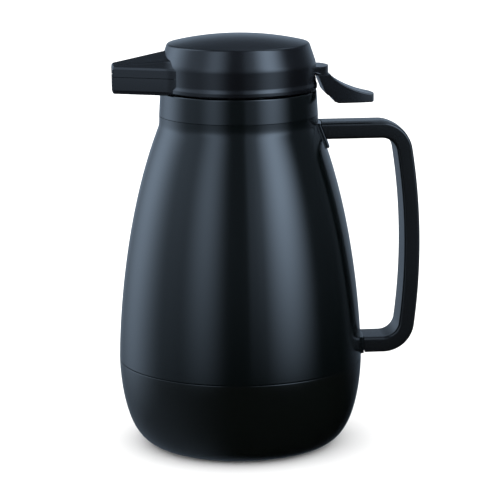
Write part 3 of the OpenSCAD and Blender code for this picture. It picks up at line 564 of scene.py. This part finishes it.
class CarafeMaterials(bpy.types.Operator):
    """Makes the materials of every piece"""

    bl_idname = "carafe.materials"
    bl_label = "Materials"

    def execute(self, context):
        looks = context.scene.carafe_looks
        moulded_group()
        brushed_group()
        gloss = {
            "Roughness": looks.shell_gloss, "Gloss Change": 0.015, "Ripple Scale": 22.0, "Ripple": 0.4
        }
        lid = {"Roughness": looks.lid_gloss, "Gloss Change": 0.03, "Grain Scale": 1600.0}
        handle = {"Roughness": looks.handle_gloss, "Gloss Change": 0.03, "Grain Scale": 1600.0}
        inner = {"Roughness": 0.42, "Gloss Change": 0.05}
        silicone = {"Roughness": 0.5, "Gloss Change": 0.06, "Grain Scale": 600.0}
        rubber = {"Roughness": 0.75, "Gloss Change": 0.08, "Grain Scale": 500.0}
        for name, base, values, bump in (
            ("Gloss shell", looks.shell_colour, gloss, 0.06),
            ("Gloss base", looks.base_colour, gloss, 0.06),
            ("Satin lid", looks.lid_colour, lid, 0.12),
            ("Satin handle", looks.handle_colour, handle, 0.12),
            ("Inner plastic", looks.inner_colour, inner, 0.15),
            ("Silicone", looks.silicone_colour, silicone, 0.2),
            ("Cushion rubber", looks.rubber_colour, rubber, 0.4),
        ):
            add_material(name, base, "Moulded Surface", values, bump)
        brushed = {"Roughness": 0.24, "Gloss Change": 0.07}
        bright = {"Roughness": 0.16, "Gloss Change": 0.04}
        add_material("Flask steel", looks.steel_colour, "Brushed Surface", brushed, 0.08, metallic=1.0)
        add_material("Hardware steel", looks.steel_colour, "Brushed Surface", bright, 0.04, metallic=1.0)
        carried = {
            "Flask steel": ("inner_flask", "outer_flask", "vacuum_seal"),
            "Silicone": ("neck_gasket", "stopper_gasket", "valve_seal", "stem_seal"),
            "Cushion rubber": ("base_cushion", "foot_pad"),
            "Hardware steel": ("handle_screws", "lid_screws", "valve_stem", "valve_spring", "lever_pin"),
            "Inner plastic": ("lid_base", "stopper_body", "stem_nut", "valve_disc"),
        }
        for name, nodes in carried.items():
            for node in nodes:
                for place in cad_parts[node].material_slots:
                    place.material = bpy.data.materials[name]
        return {"FINISHED"}


# The body


class CarafeBody(bpy.types.Operator):
    """Makes the shell, the base cup and the collar"""

    bl_idname = "carafe.body"
    bl_label = "Body"

    def execute(self, context):
        sizes = context.scene.carafe_body
        self.shell(sizes)
        self.base_cup(sizes)
        self.collar(sizes)
        self.pads(sizes, context.scene.carafe_handle)
        return {"FINISHED"}

    def shell(self, sizes):
        """The bulging shell, open at both ends, with a rounded lower edge at the seam."""
        edge = sizes.seam_height + sizes.seam_gap
        outside, inside = (
            [p for p in upper_side(sizes, out) if p.y > edge + 0.3 * MM] for out in (0.0, -sizes.wall)
        )
        lip = rounded([
            (sizes.belly_radius - sizes.wall, outside[0].y, 0),
            (sizes.belly_radius - sizes.wall, edge, SEAM_ROUND),
            (sizes.belly_radius, edge, SEAM_ROUND),
            (sizes.belly_radius, outside[0].y, 0),
        ])
        bm = turned(lip + outside[1:] + inside[:0:-1])
        add_piece(bm, "shell", "vessel", "shell_gloss", "Gloss shell", "outer_body")

    def base_cup(self, sizes):
        """The cup below the seam, with the tongue that enters the shell and the foot pad's recess."""
        tongue_out = sizes.belly_radius - sizes.wall - FIT
        tongue_in = tongue_out - 1.6 * MM
        tongue_top = sizes.seam_height + 3 * MM
        root = sizes.seam_height - 6 * MM
        floor = sizes.foot_lift + 3.4 * MM
        outside = lower_side(sizes, sizes.foot_lift)[:-1]
        inside = [p for p in lower_side(sizes, floor, -sizes.wall) if p.y < root - 1.6 * MM]
        top = rounded([
            (outside[-1].x, outside[-1].y, 0),
            (sizes.belly_radius, sizes.seam_height, SEAM_ROUND),
            (tongue_out, sizes.seam_height, 0),
            (tongue_out, tongue_top, 0.4 * MM),
            (tongue_in, tongue_top, 0.4 * MM),
            (tongue_in, root, 0),
        ])
        recess = sizes.foot_lift + sizes.pad_recess
        under = rounded([
            (0, recess, 0),
            (sizes.pad_radius + FIT, recess, 0),
            (sizes.pad_radius + FIT, sizes.foot_lift, 0.3 * MM),
            (outside[0].x, sizes.foot_lift, 0),
        ])
        bm = turned(under + outside[1:-1] + top + inside[::-1] + [Vector((0, floor))])
        add_piece(bm, "base_shell", "vessel", "base_gloss", "Gloss base", "base_cup")

    def collar(self, sizes):
        """The near-vertical ring between the shell and the lid, with its bore and skirt."""
        skirt = sizes.collar_radius - sizes.wall - FIT
        skirt_in = skirt - 2.2 * MM
        skirt_foot = sizes.collar_foot - 4.1 * MM
        foot = sizes.collar_foot + 0.12 * MM
        bore = sizes.collar_radius - 7.5 * MM
        ledge = sizes.collar_foot + 6.2 * MM
        outline = rounded([
            (skirt_in, skirt_foot, 0),
            (skirt, skirt_foot, 0.4 * MM),
            (skirt, foot, 0),
            (sizes.collar_radius, foot, FIT),
            (sizes.collar_radius - sizes.collar_taper, sizes.collar_top, 0.9 * MM),
            (bore, sizes.collar_top, 0.6 * MM),
            (bore, ledge, 0.2 * MM),
            (skirt_in, ledge, 0),
        ])
        lug_out, lug_in = bore + 0.9 * MM, bore - 0.9 * MM
        lug_foot, lug_top = ledge + 2.8 * MM, ledge + 4.7 * MM
        corners = ((lug_out, lug_foot), (lug_in, lug_foot), (lug_in, lug_top), (lug_out, lug_top))
        lug = [Vector(corner) for corner in corners]
        sweep = math.radians(40)
        lugs = [sector(lug, math.radians(60 + 120 * i) - sweep / 2, sweep) for i in range(3)]
        bm = combined(turned(outline), lugs, "UNION")
        add_piece(bm, "collar_ring", "vessel", "shell_gloss", "Gloss shell", "neck_collar")

    def pads(self, sizes, handle):
        """The raised pads on the shell that the handle's arms land on."""
        half = handle.thickness / 2
        show = handle.pad_show
        for name, arm, above, below in (
            ("upper_pad", handle.upper_arm, show, show + handle.pad_tail),
            ("lower_pad", handle.lower_arm, show, show),
        ):
            bottom, top = arm - half - below, arm + half + above
            bm = bmesh.new()
            bmesh.ops.create_grid(bm, x_segments=24, y_segments=24, size=0.5)
            for vertex in bm.verts:
                across, height = vertex.co.x * handle.width, bottom + (vertex.co.y + 0.5) * (top - bottom)
                radius = shell_radius(sizes, height) + handle.pad
                vertex.co = Vector((math.sqrt(radius**2 - across**2), across, height))
            rim = [edge for edge in bm.edges if edge.is_boundary]
            draw_out(bm, bm.faces[:], (-handle.pad - sizes.wall / 2, 0, 0))
            bmesh.ops.bevel(
                bm, geom=[edge for edge in rim if edge.is_valid], offset=0.5 * MM, segments=3, profile=0.5,
                affect="EDGES", material=-1,
            )
            add_piece(tidy(bm), name, "vessel", "shell_gloss", "Gloss shell", "outer_body")


# The handle


class CarafeHandle(bpy.types.Operator):
    """Makes the handle's bar and the strip in its outer side"""

    bl_idname = "carafe.handle"
    bl_label = "Handle"

    def execute(self, context):
        body = context.scene.carafe_body
        sizes = context.scene.carafe_handle
        outer = sizes.thickness / 2
        half = sizes.width / 2
        floor = outer - sizes.channel
        channel = half - sizes.rim
        bar = rounded([
            (outer, half, sizes.outer_round),
            (-outer, half, sizes.inner_round),
            (-outer, -half, sizes.inner_round),
            (outer, -half, sizes.outer_round),
            (outer, -channel, 0.12 * MM),
            (floor, -channel, 0),
            (floor, channel, 0),
            (outer, channel, 0.12 * MM),
        ])
        bm = self.run(body, sizes, bar)
        add_piece(bm, "handle_bar", "vessel", "handle_satin", "Satin handle", "handle_frame")
        edge = channel - sizes.groove
        crown = outer + sizes.crown
        strip = rounded([
            (floor, edge, 0),
            (floor, -edge, 0),
            (outer, -edge, 0.5 * MM),
            (crown, -edge / 2, 6 * MM),
            (crown, edge / 2, 6 * MM),
            (outer, edge, 0.5 * MM),
        ])
        bm = self.run(body, sizes, strip)
        add_piece(bm, "handle_strip", "vessel", "handle_satin", "Satin handle", "handle_cover")
        return {"FINISHED"}

    def run(self, body, sizes, section):
        """Runs a section of (outward, across) along the arms, the corners and the bowed grip."""
        centre_x = sizes.grip_x - sizes.bow_radius
        reach = sizes.bow_radius - sizes.corner_radius
        high_z = sizes.upper_arm - sizes.corner_radius
        low_z = sizes.lower_arm + sizes.corner_radius
        turn_high = math.asin((high_z - sizes.grip_z) / reach)
        turn_low = math.asin((low_z - sizes.grip_z) / reach)
        high_x = centre_x + reach * math.cos(turn_high)
        low_x = centre_x + reach * math.cos(turn_low)
        start = shell_radius(body, sizes.upper_arm) + sizes.pad
        end = shell_radius(body, sizes.lower_arm) + sizes.pad
        bm = bmesh.new()
        first = closed_loop(bm, [(start, p.y, sizes.upper_arm + p.x) for p in section])
        quarter = math.pi / 2
        ring = first
        for centre, turn, travel, steps in (
            (ORIGIN, 0, high_x - start, 1),
            (Vector((high_x, 0, high_z)), quarter - turn_high, 0, BEND_STEPS),
            (Vector((centre_x, 0, sizes.grip_z)), turn_high - turn_low, 0, 32),
            (Vector((low_x, 0, low_z)), quarter + turn_low, 0, BEND_STEPS),
            (ORIGIN, 0, end - low_x, 1),
        ):
            made = bmesh.ops.spin(
                bm, geom=ring, cent=centre, axis=ACROSS, dvec=(travel, 0, 0), angle=turn, steps=steps,
                use_merge=False, use_duplicate=False,
            )
            ring = edges_of(made["geom_last"])
        for end_ring in (first, ring):
            for vertex in {v for edge in end_ring for v in edge.verts}:
                radius = shell_radius(body, vertex.co.z) + sizes.pad + sizes.pad_gap
                vertex.co.x = math.sqrt(radius**2 - vertex.co.y**2)
            bmesh.ops.contextual_create(bm, geom=end_ring)
        return tidy(bm)


# The lid


def cap_side(sizes, out=0.0):
    """The cap's outside from its lower edge to the rim, as (radius, height), moved out by a distance."""
    crease = sizes.foot + sizes.side
    rim = crease + sizes.cone
    outer = sizes.radius + sizes.bead
    rim_radius = sizes.radius - sizes.cone_in
    corners = [
        (outer - 3 * MM, sizes.foot, 0),
        (outer, sizes.foot, 0.6 * MM),
        (outer, sizes.foot + sizes.bead_height - sizes.bead, MM),
        (sizes.radius, sizes.foot + sizes.bead_height + MM, 3 * MM),
        (sizes.radius, crease, 9 * MM),
        (rim_radius, rim, sizes.rim_round),
        (rim_radius - 4 * MM, dome_height(sizes, rim_radius - 4 * MM), 0),
    ]
    points = rounded(corners, 2 * CORNER_STEPS)[1:-1]
    return [p + Vector((out, 0)) for p in points]


def dome_height(sizes, distance):
    """Height of the shallow dome over a distance from the axis."""
    edge = sizes.radius - sizes.cone_in
    rise = sizes.top - sizes.foot - sizes.side - sizes.cone
    radius = (edge**2 + rise**2) / (2 * rise)
    return sizes.top - radius + math.sqrt(radius**2 - distance**2)


class CarafeCap(bpy.types.Operator):
    """Makes the cap with its shallow dome"""

    bl_idname = "carafe.cap"
    bl_label = "Cap"

    def execute(self, context):
        sizes = context.scene.carafe_lid
        lever = context.scene.carafe_lever
        side = cap_side(sizes)
        edge = side[-1].x
        radii = [edge * (1 - i / CURVE_STEPS) for i in range(1, CURVE_STEPS)]
        dome = [Vector((radius, dome_height(sizes, radius))) for radius in radii]
        inner = sizes.radius - sizes.wall
        crease = sizes.foot + sizes.side
        rim = crease + sizes.cone - sizes.wall
        inside = [
            Vector((0, sizes.top - sizes.wall)),
            Vector((inner - 6 * MM, rim + 1.2 * MM)),
            Vector((inner - sizes.cone_in, rim)),
            Vector((inner, crease)),
            Vector((inner, sizes.foot)),
        ]
        bm = turned(side + dome + [Vector((0, sizes.top))] + inside)
        half = lever.width / 2 + 0.35 * MM
        slot_foot, slot_top = lever.top - 6.3 * MM, lever.top + 0.35 * MM
        slot = bare_block((lever.pin_x, -half, slot_foot), (lever.knuckle_x, half, slot_top))
        half = DUCT_HALF + FIT
        duct = bare_block(
            (-sizes.radius - MM, -half, sizes.foot - MM), (DUCT_END, half, sizes.foot + DUCT_HEIGHT + FIT)
        )
        places = [
            Vector((sizes.lid_screw_place * math.cos(a), sizes.lid_screw_place * math.sin(a), 0))
            for a in (math.radians(degrees) for degrees in (65, 115, 245, 295))
        ]
        plate = Vector((0, 0, sizes.foot + 2 * MM))
        head = Vector((0, 0, dome_height(sizes, sizes.lid_screw_place) - sizes.wall / 2))
        bm = combined(bm, [rod(3.2 * MM, p + plate, p + head) for p in places], "UNION")
        bores = [rod(1.55 * MM, p + plate - UP * MM, p + plate + UP * 10 * MM) for p in places]
        bm = combined(bm, [slot, duct, *bores])
        add_piece(bm, "cap", "lid", "lid_satin", "Satin lid", "lid_cover")
        return {"FINISHED"}


class CarafeSpout(bpy.types.Operator):
    """Makes the lower and the upper half of the spout"""

    bl_idname = "carafe.spout"
    bl_label = "Spout"

    def execute(self, context):
        sizes = context.scene.carafe_lid
        body = context.scene.carafe_body
        outside = self.outside(sizes)
        clear = body.collar_radius + 0.45 * MM
        stop = turned([
            Vector((0, body.collar_foot)),
            Vector((clear, body.collar_foot)),
            Vector((clear, sizes.foot)),
            *cap_side(sizes, -0.05 * MM),
            Vector((0, sizes.foot + sizes.side + sizes.cone)),
        ])
        solid = combined(outside, [stop])
        duct = bare_block(
            (-sizes.radius - 3 * MM, -DUCT_HALF, sizes.foot), (DUCT_END, DUCT_HALF, sizes.foot + DUCT_HEIGHT)
        )
        solid = combined(solid, [duct], "UNION")
        solid = combined(solid, self.passage(sizes))
        line = sizes.spout_foot + sizes.parting
        for name, edge, side, node in (
            ("spout_lower", line - 0.13 * MM, 1, "spout_base"),
            ("spout_upper", line + 0.13 * MM, -1, "spout_hood"),
        ):
            half = solid.copy()
            whole = half.verts[:] + half.edges[:] + half.faces[:]
            cut = bmesh.ops.bisect_plane(
                half, geom=whole, dist=0.001 * MM, plane_co=(0, 0, edge), plane_no=(0, 0, side),
                clear_outer=True,
            )
            bmesh.ops.holes_fill(half, edges=edges_of(cut["geom_cut"]), sides=0)
            add_piece(tidy(half), name, "lid", "lid_satin", "Satin lid", node)
        solid.free()
        return {"FINISHED"}

    def section(self, sizes, place, half, inset):
        """The spout's outline across the carafe at a place along it."""
        root = -math.sqrt(sizes.radius**2 - sizes.root_half**2)
        way = (place - sizes.tip_x) / (root - sizes.tip_x)
        ridge = sizes.tip_ridge + (sizes.root_ridge - sizes.tip_ridge) * way
        half -= inset
        foot = sizes.spout_foot + inset
        eave = sizes.spout_foot + sizes.spout_side - inset
        corners = [
            (half, foot, 2.4 * MM),
            (half, eave - MM, 0.2 * MM),
            (half - 0.65 * MM, eave, 0.2 * MM),
            (0.8 * half, eave + 0.47 * ridge, 0.3 * half),
        ]
        return mirrored(corners, (0, eave + ridge, 2 * MM))

    def outside(self, sizes):
        """The spout as one solid, from its rounded tip to inside the cap, with flared sides."""
        root = Vector((-math.sqrt(sizes.radius**2 - sizes.root_half**2), sizes.root_half))
        tip = Vector((sizes.tip_x, sizes.tip_half))
        start = root + (tip - root).normalized() * sizes.flare
        end = Matrix.Rotation(-sizes.flare / sizes.radius, 2) @ root * (1 - 0.2 * MM / sizes.radius)
        flare = [start] + bezier(start, start.lerp(root, 0.65), end.lerp(root, 0.65), end, 10)
        tip = sizes.tip_half
        stations = [
            (sizes.tip_x, tip, MM),
            (sizes.tip_x + 0.15 * MM, tip, 0.55 * MM),
            (sizes.tip_x + 0.6 * MM, tip, 0.12 * MM),
            (sizes.tip_x + MM, tip, 0),
            *((place, half, 0) for place, half in flare),
        ]
        rings = [[(station[0], y, z) for y, z in self.section(sizes, *station)] for station in stations]
        return lofted(rings)

    def passage(self, sizes):
        """The way for the drink, as cutters: a tapered passage in the spout, and the duct inside the lid."""
        half = DUCT_HALF - sizes.spout_wall
        floor, roof = sizes.foot + sizes.spout_wall, sizes.foot + DUCT_HEIGHT - sizes.spout_wall
        tip_half = sizes.tip_half - sizes.mouth_rim
        tip_floor = sizes.spout_foot + sizes.mouth_rim
        eave = sizes.spout_foot + sizes.spout_side
        corners = [(tip_half, tip_floor, 2 * MM), (tip_half, eave - 1.3 * MM, 1.2 * MM)]
        mouth = mirrored(corners, (0, eave + sizes.tip_ridge - 1.6 * MM, 1.6 * MM))
        corners = [(half, floor, 2 * MM), (half, roof, 1.2 * MM)]
        throat = mirrored(corners, (0, roof + 0.1 * MM, 1.6 * MM))
        ends = ((sizes.tip_x - MM, mouth), (-sizes.radius, throat))
        way = lofted([[(place, p.x, p.y) for p in outline] for place, outline in ends])
        duct = bare_block((-sizes.radius - 0.1 * MM, -half, floor), (PASSAGE_END, half, roof))
        drop = bare_block((-26.7 * MM, -half, sizes.foot - MM), (PASSAGE_END, half, floor + MM))
        return [way, duct, drop]


# The lever


class CarafeLever(bpy.types.Operator):
    """Makes the thumb lever with its dished paddle and the fork that lifts the valve"""

    bl_idname = "carafe.lever"
    bl_label = "Lever"

    def execute(self, context):
        sizes = context.scene.carafe_lever
        half = sizes.width / 2
        pin_z = sizes.top - sizes.barrel_radius
        bm = combined(self.knuckle(sizes), [self.paddle(sizes), *self.fork(sizes)], "UNION")
        past = half + MM
        bore = rod(sizes.pin_radius + 0.1 * MM, (sizes.pin_x, -past, pin_z), (sizes.pin_x, past, pin_z))
        bm = combined(bm, [bore, self.hollow(sizes)])
        add_piece(bm, "thumb_paddle", "lever", "lid_satin", "Satin lid", "thumb_lever")
        return {"FINISHED"}

    def bowed_end(self, end, half, bow):
        """Half widths along a rounded end, as (place, half width)."""
        radius = (half**2 + bow**2) / (2 * bow)
        widest = math.asin(half / radius)
        angles = [widest * (1 - i / 10) for i in range(10)] + [widest * 0.04]
        return [Vector((end - radius + radius * math.cos(a), radius * math.sin(a))) for a in angles]

    def bar(self, sizes, half_width, top, bottom, places):
        """A solid along the carafe, whose half width, top and bottom are curves, with rounded edges."""
        rings = []
        for place in sorted(places):
            half, roof, floor = (read_curve(curve, place) for curve in (half_width, top, bottom))
            soft = min(sizes.edge_round, 0.9 * half, 0.45 * (roof - floor))
            rings.append([(place, y, z) for y, z in mirrored([(half, floor, soft), (half, roof, soft)])])
        return lofted(rings)

    def knuckle(self, sizes):
        """The part from the pin to the knuckle's rounded end."""
        half = sizes.width / 2
        end = self.bowed_end(sizes.knuckle_x + sizes.knuckle_lean, half, sizes.knuckle_bow)
        start = Vector((sizes.pin_x, half))
        top = [Vector((start.x, sizes.top)), Vector((end[-1].x, sizes.top))]
        bottom = [Vector((p.x, sizes.top - sizes.neck)) for p in top]
        return self.bar(sizes, [start, *end], top, bottom, [start.x] + [p.x for p in end])

    def paddle(self, sizes):
        """The part that the thumb presses, with its dished top, its heel and its narrowing sides."""
        half = sizes.width / 2
        knee = sizes.knuckle_x
        split = sizes.top - sizes.knuckle_height
        notch = sizes.bottom + sizes.heel_height
        start = Vector((knee - 5.6 * MM, split))
        slope = self.slope(sizes)
        heel = [
            Vector((start.x, split - 1.8 * MM)),
            Vector((knee - 2.6 * MM, notch + 3.2 * MM)),
            Vector((knee - sizes.heel_step / 2, notch + 2 * sizes.heel_lift)),
            Vector((knee, notch + sizes.heel_lift)),
            Vector((knee + sizes.heel_step / 2, notch)),
            Vector((knee + sizes.heel_step, sizes.bottom + sizes.heel_lift)),
            Vector((knee + sizes.heel_reach, sizes.bottom)),
            Vector((sizes.tip_x, sizes.bottom)),
        ]
        end = self.bowed_end(sizes.tip_x, sizes.tip_half, sizes.tip_bow)
        wide = Vector((knee + 2 * MM, half))
        pull, back = Vector((10, 0)) * MM, Vector((-7, 1.4)) * MM
        narrowing = bezier(wide, wide + pull, end[0] + back, end[0], 10)
        sides = [Vector((start.x, half)), wide, *narrowing, *end[1:]]
        top = [start, *slope[:-1], Vector((sizes.tip_x, slope[-1].y))]
        places = {round(p.x, 7) for curve in (sides, top[:-1], heel[:-1]) for p in curve}
        return self.bar(sizes, sides, top, heel, [place for place in places if place <= end[-1].x])

    def slope(self, sizes, steps=16):
        """The dished slope that the thumb presses, from the knuckle's foot to the tip."""
        a = Vector((sizes.knuckle_x + sizes.knuckle_lean, sizes.top - sizes.knuckle_height))
        b = Vector((sizes.tip_x - 0.3 * MM, sizes.top - sizes.tip_drop))
        return [a] + bezier(a, a + Vector((3.2, -4.5)) * MM, b + Vector((-10.9, 1.3)) * MM, b, steps)

    def fork(self, sizes):
        """The barrel round the pin and the two prongs that lift the valve, as solids of their own."""
        half = sizes.width / 2
        pin_z = sizes.top - sizes.barrel_radius
        nose = 1.6 * MM
        solids = [rod(sizes.barrel_radius, (sizes.pin_x, -half, pin_z), (sizes.pin_x, half, pin_z))]
        for side in (-1, 1):
            near, far = sorted((side * sizes.fork_gap, side * (sizes.fork_gap + sizes.prong)))
            nose_z = sizes.top + 0.3 * MM - nose
            solids.append(bare_block((0, near, pin_z), (sizes.pin_x + MM, far, sizes.top - 0.02 * MM)))
            solids.append(rod(nose, (0, near, nose_z), (0, far, nose_z)))
        return solids

    def hollow(self, sizes):
        """The room under the paddle's top, between its side plates."""
        slope = self.slope(sizes, 8)[1:-1]
        below = Vector((0, sizes.skin))
        roof = [p - below for p in slope]
        ends = [Vector((roof[-1].x, sizes.bottom - MM)), Vector((roof[0].x + 2 * MM, sizes.bottom - MM))]
        half = sizes.tip_half - sizes.side
        return extruded([(p.x, 0, p.y) for p in roof[1:] + ends], (0, -half, 0), (0, 2 * half, 0))


# The valve's spring


class CarafeSpring(bpy.types.Operator):
    """Makes the spring that closes the valve"""

    bl_idname = "carafe.spring"
    bl_label = "Spring"

    def execute(self, context):
        foot, head = low("valve_spring", Z), high("valve_spring", Z)
        coil = high("valve_spring", Y) - WIRE_RADIUS
        steps = 28 * SPRING_TURNS
        start = Matrix.Translation((coil, 0, foot + WIRE_RADIUS)) @ Matrix.Rotation(math.pi / 2, 4, "X")
        bm = bmesh.new()
        bmesh.ops.create_circle(bm, segments=10, radius=WIRE_RADIUS, matrix=start)
        first = bm.edges[:]
        rise = (head - foot - 2 * WIRE_RADIUS) / steps
        made = bmesh.ops.spin(
            bm, geom=first, cent=ORIGIN, axis=UP, dvec=(0, 0, rise),
            angle=math.tau * SPRING_TURNS, steps=steps, use_merge=False, use_duplicate=False,
        )
        for end in (first, edges_of(made["geom_last"])):
            bmesh.ops.contextual_create(bm, geom=end)
        spring = add_piece(tidy(bm), "coil_spring", "lid", "hardware_steel", "Hardware steel", "valve_spring")
        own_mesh(spring)
        return {"FINISHED"}


# The stage

# Soft boxes that the gloss shows. Each has its bearing to the right of the camera, half the width of its
# even part and half its whole width, then the elevations where it starts, is whole, starts to fade and ends,
# all in degrees, and its strength
SOFT_BOXES = (
    (50, 0, 34, -20, 20, 50, 72, 5.9),
    (16, 5, 8, -20, 20, 50, 72, 0.64),
    (-36, 0, 26, -24, 20, 50, 72, 1.95),
    (-75, 0, 70, -24, 20, 50, 72, 0.85),
    (-115, 0, 38, -32, 12, 50, 72, 2.4),
    (180, 25, 70, -24, 2, 5, 22, 0.42),
    (140, 0, 60, 30, 52, 62, 74, 1.2),
    (-115, 20, 110, -90, -60, -15, 10, 0.22),
)


class CarafeStage(bpy.types.Operator):
    """Makes the floor, the light and the camera"""

    bl_idname = "carafe.stage"
    bl_label = "Stage"

    def execute(self, context):
        settings = context.scene.carafe_stage
        self.floor()
        self.world(context, settings)
        self.camera(context, settings)
        return {"FINISHED"}

    def floor(self):
        """A wide pale floor at the height of the foot pad."""
        bm = bmesh.new()
        bmesh.ops.create_grid(bm, x_segments=1, y_segments=1, size=6)
        floor = new_object("floor", bm)
        material = bpy.data.materials.new("Pale floor")
        material.use_nodes = True
        shader = material.node_tree.nodes["Principled BSDF"]
        shader.inputs["Base Color"].default_value = (0.93, 0.93, 0.93, 1)
        shader.inputs["Roughness"].default_value = 0.9
        shader.inputs["Specular IOR Level"].default_value = 0.0
        floor.data.materials.append(material)
        floor.visible_glossy = False

    def world(self, context, settings):
        """White backdrop and even light, and soft boxes in a dark room that only gloss shows."""
        world = bpy.data.worlds.new("Studio")
        world.use_nodes = True
        world.cycles.sampling_method = "NONE"
        tree = world.node_tree
        place = add_node(tree, "ShaderNodeTexCoord").outputs["Generated"]
        sockets = {"Vector": place, "Angle": settings.turn}
        facing = add_node(tree, "ShaderNodeVectorRotate", {"rotation_type": "Z_AXIS"}, sockets)
        parts = add_node(tree, "ShaderNodeSeparateXYZ", None, {0: facing.outputs[0]})
        towards = sum_node(tree, "MULTIPLY", parts.outputs["Y"], -1.0)
        bearing = sum_node(tree, "ARCTAN2", parts.outputs["X"], towards)
        height = sum_node(tree, "ARCSINE", parts.outputs["Z"])
        light = smooth_step(tree, height, math.radians(-15), math.radians(10), settings.room)
        for box in SOFT_BOXES:
            centre, even, edge, start, whole, fade, end = (math.radians(value) for value in box[:-1])
            away = sum_node(tree, "PINGPONG", sum_node(tree, "SUBTRACT", bearing, centre), math.pi)
            across = smooth_step(tree, away, edge, even, box[-1])
            rise = smooth_step(tree, height, start, whole)
            fall = smooth_step(tree, height, end, fade)
            light = sum_node(tree, "MULTIPLY_ADD", across, sum_node(tree, "MULTIPLY", rise, fall), light)
        path = add_node(tree, "ShaderNodeLightPath")
        bright = tree.nodes["Background"]
        bright.inputs["Color"].default_value = (1, 1, 1, 1)
        bright.inputs["Strength"].default_value = settings.even_light
        sockets = {"Color": (*settings.tint, 1), "Strength": light}
        room = add_node(tree, "ShaderNodeBackground", None, sockets)
        chosen = add_node(
            tree, "ShaderNodeMixShader", None,
            {0: path.outputs["Is Glossy Ray"], 1: bright.outputs[0], 2: room.outputs[0]},
        )
        tree.links.new(chosen.outputs[0], tree.nodes["World Output"].inputs["Surface"])
        context.scene.world = world
        context.scene.view_settings.view_transform = "Standard"

    def camera(self, context, settings):
        """The camera at the photograph's height and angle."""
        data = bpy.data.cameras.new("camera")
        data.sensor_width = 36
        data.lens = settings.lens
        camera = bpy.data.objects.new("camera", data)
        context.scene.collection.objects.link(camera)
        around = Matrix.Rotation(-settings.turn, 3, "Z")
        level = Matrix.Rotation(-settings.pan, 3, "Z") @ Matrix.Rotation(math.pi / 2 - settings.tilt, 3, "X")
        turned_by_roll = level @ Matrix.Rotation(settings.roll, 3, "Z")
        place = around @ Vector((0, -settings.camera_distance, settings.camera_height))
        camera.matrix_world = Matrix.Translation(place) @ (around @ turned_by_roll).to_4x4()
        context.scene.camera = camera


class CarafePanel(bpy.types.Panel):
    """Lists the steps that build the carafe"""

    bl_idname = "VIEW3D_PT_carafe"
    bl_label = "Thermal Carafe"
    bl_space_type = "VIEW_3D"
    bl_region_type = "UI"
    bl_category = "Carafe"

    def draw(self, context):
        for step in STEPS:
            self.layout.operator(step.bl_idname)


SETTINGS = {
    "carafe_body": BodySizes,
    "carafe_handle": HandleSizes,
    "carafe_lid": LidSizes,
    "carafe_lever": LeverSizes,
    "carafe_looks": Looks,
    "carafe_stage": StageSettings,
}
STEPS = (
    CarafeMaterials,
    CarafeBody,
    CarafeHandle,
    CarafeCap,
    CarafeSpout,
    CarafeLever,
    CarafeSpring,
    CarafeStage,
)


def register():
    for kind in SETTINGS.values():
        for name, setting in kind.__annotations__.items():
            setting.keywords["name"] = name.replace("_", " ").capitalize()
    for kind in (*SETTINGS.values(), *STEPS, CarafePanel):
        bpy.utils.register_class(kind)
    for name, kind in SETTINGS.items():
        setattr(bpy.types.Scene, name, PointerProperty(type=kind))


def unregister():
    for name in SETTINGS:
        delattr(bpy.types.Scene, name)
    for kind in reversed((*SETTINGS.values(), *STEPS, CarafePanel)):
        bpy.utils.unregister_class(kind)


def main():
    register()
    for step in STEPS:
        group, name = step.bl_idname.split(".")
        getattr(getattr(bpy.ops, group), name)()


if __name__ == "__main__":
    main()
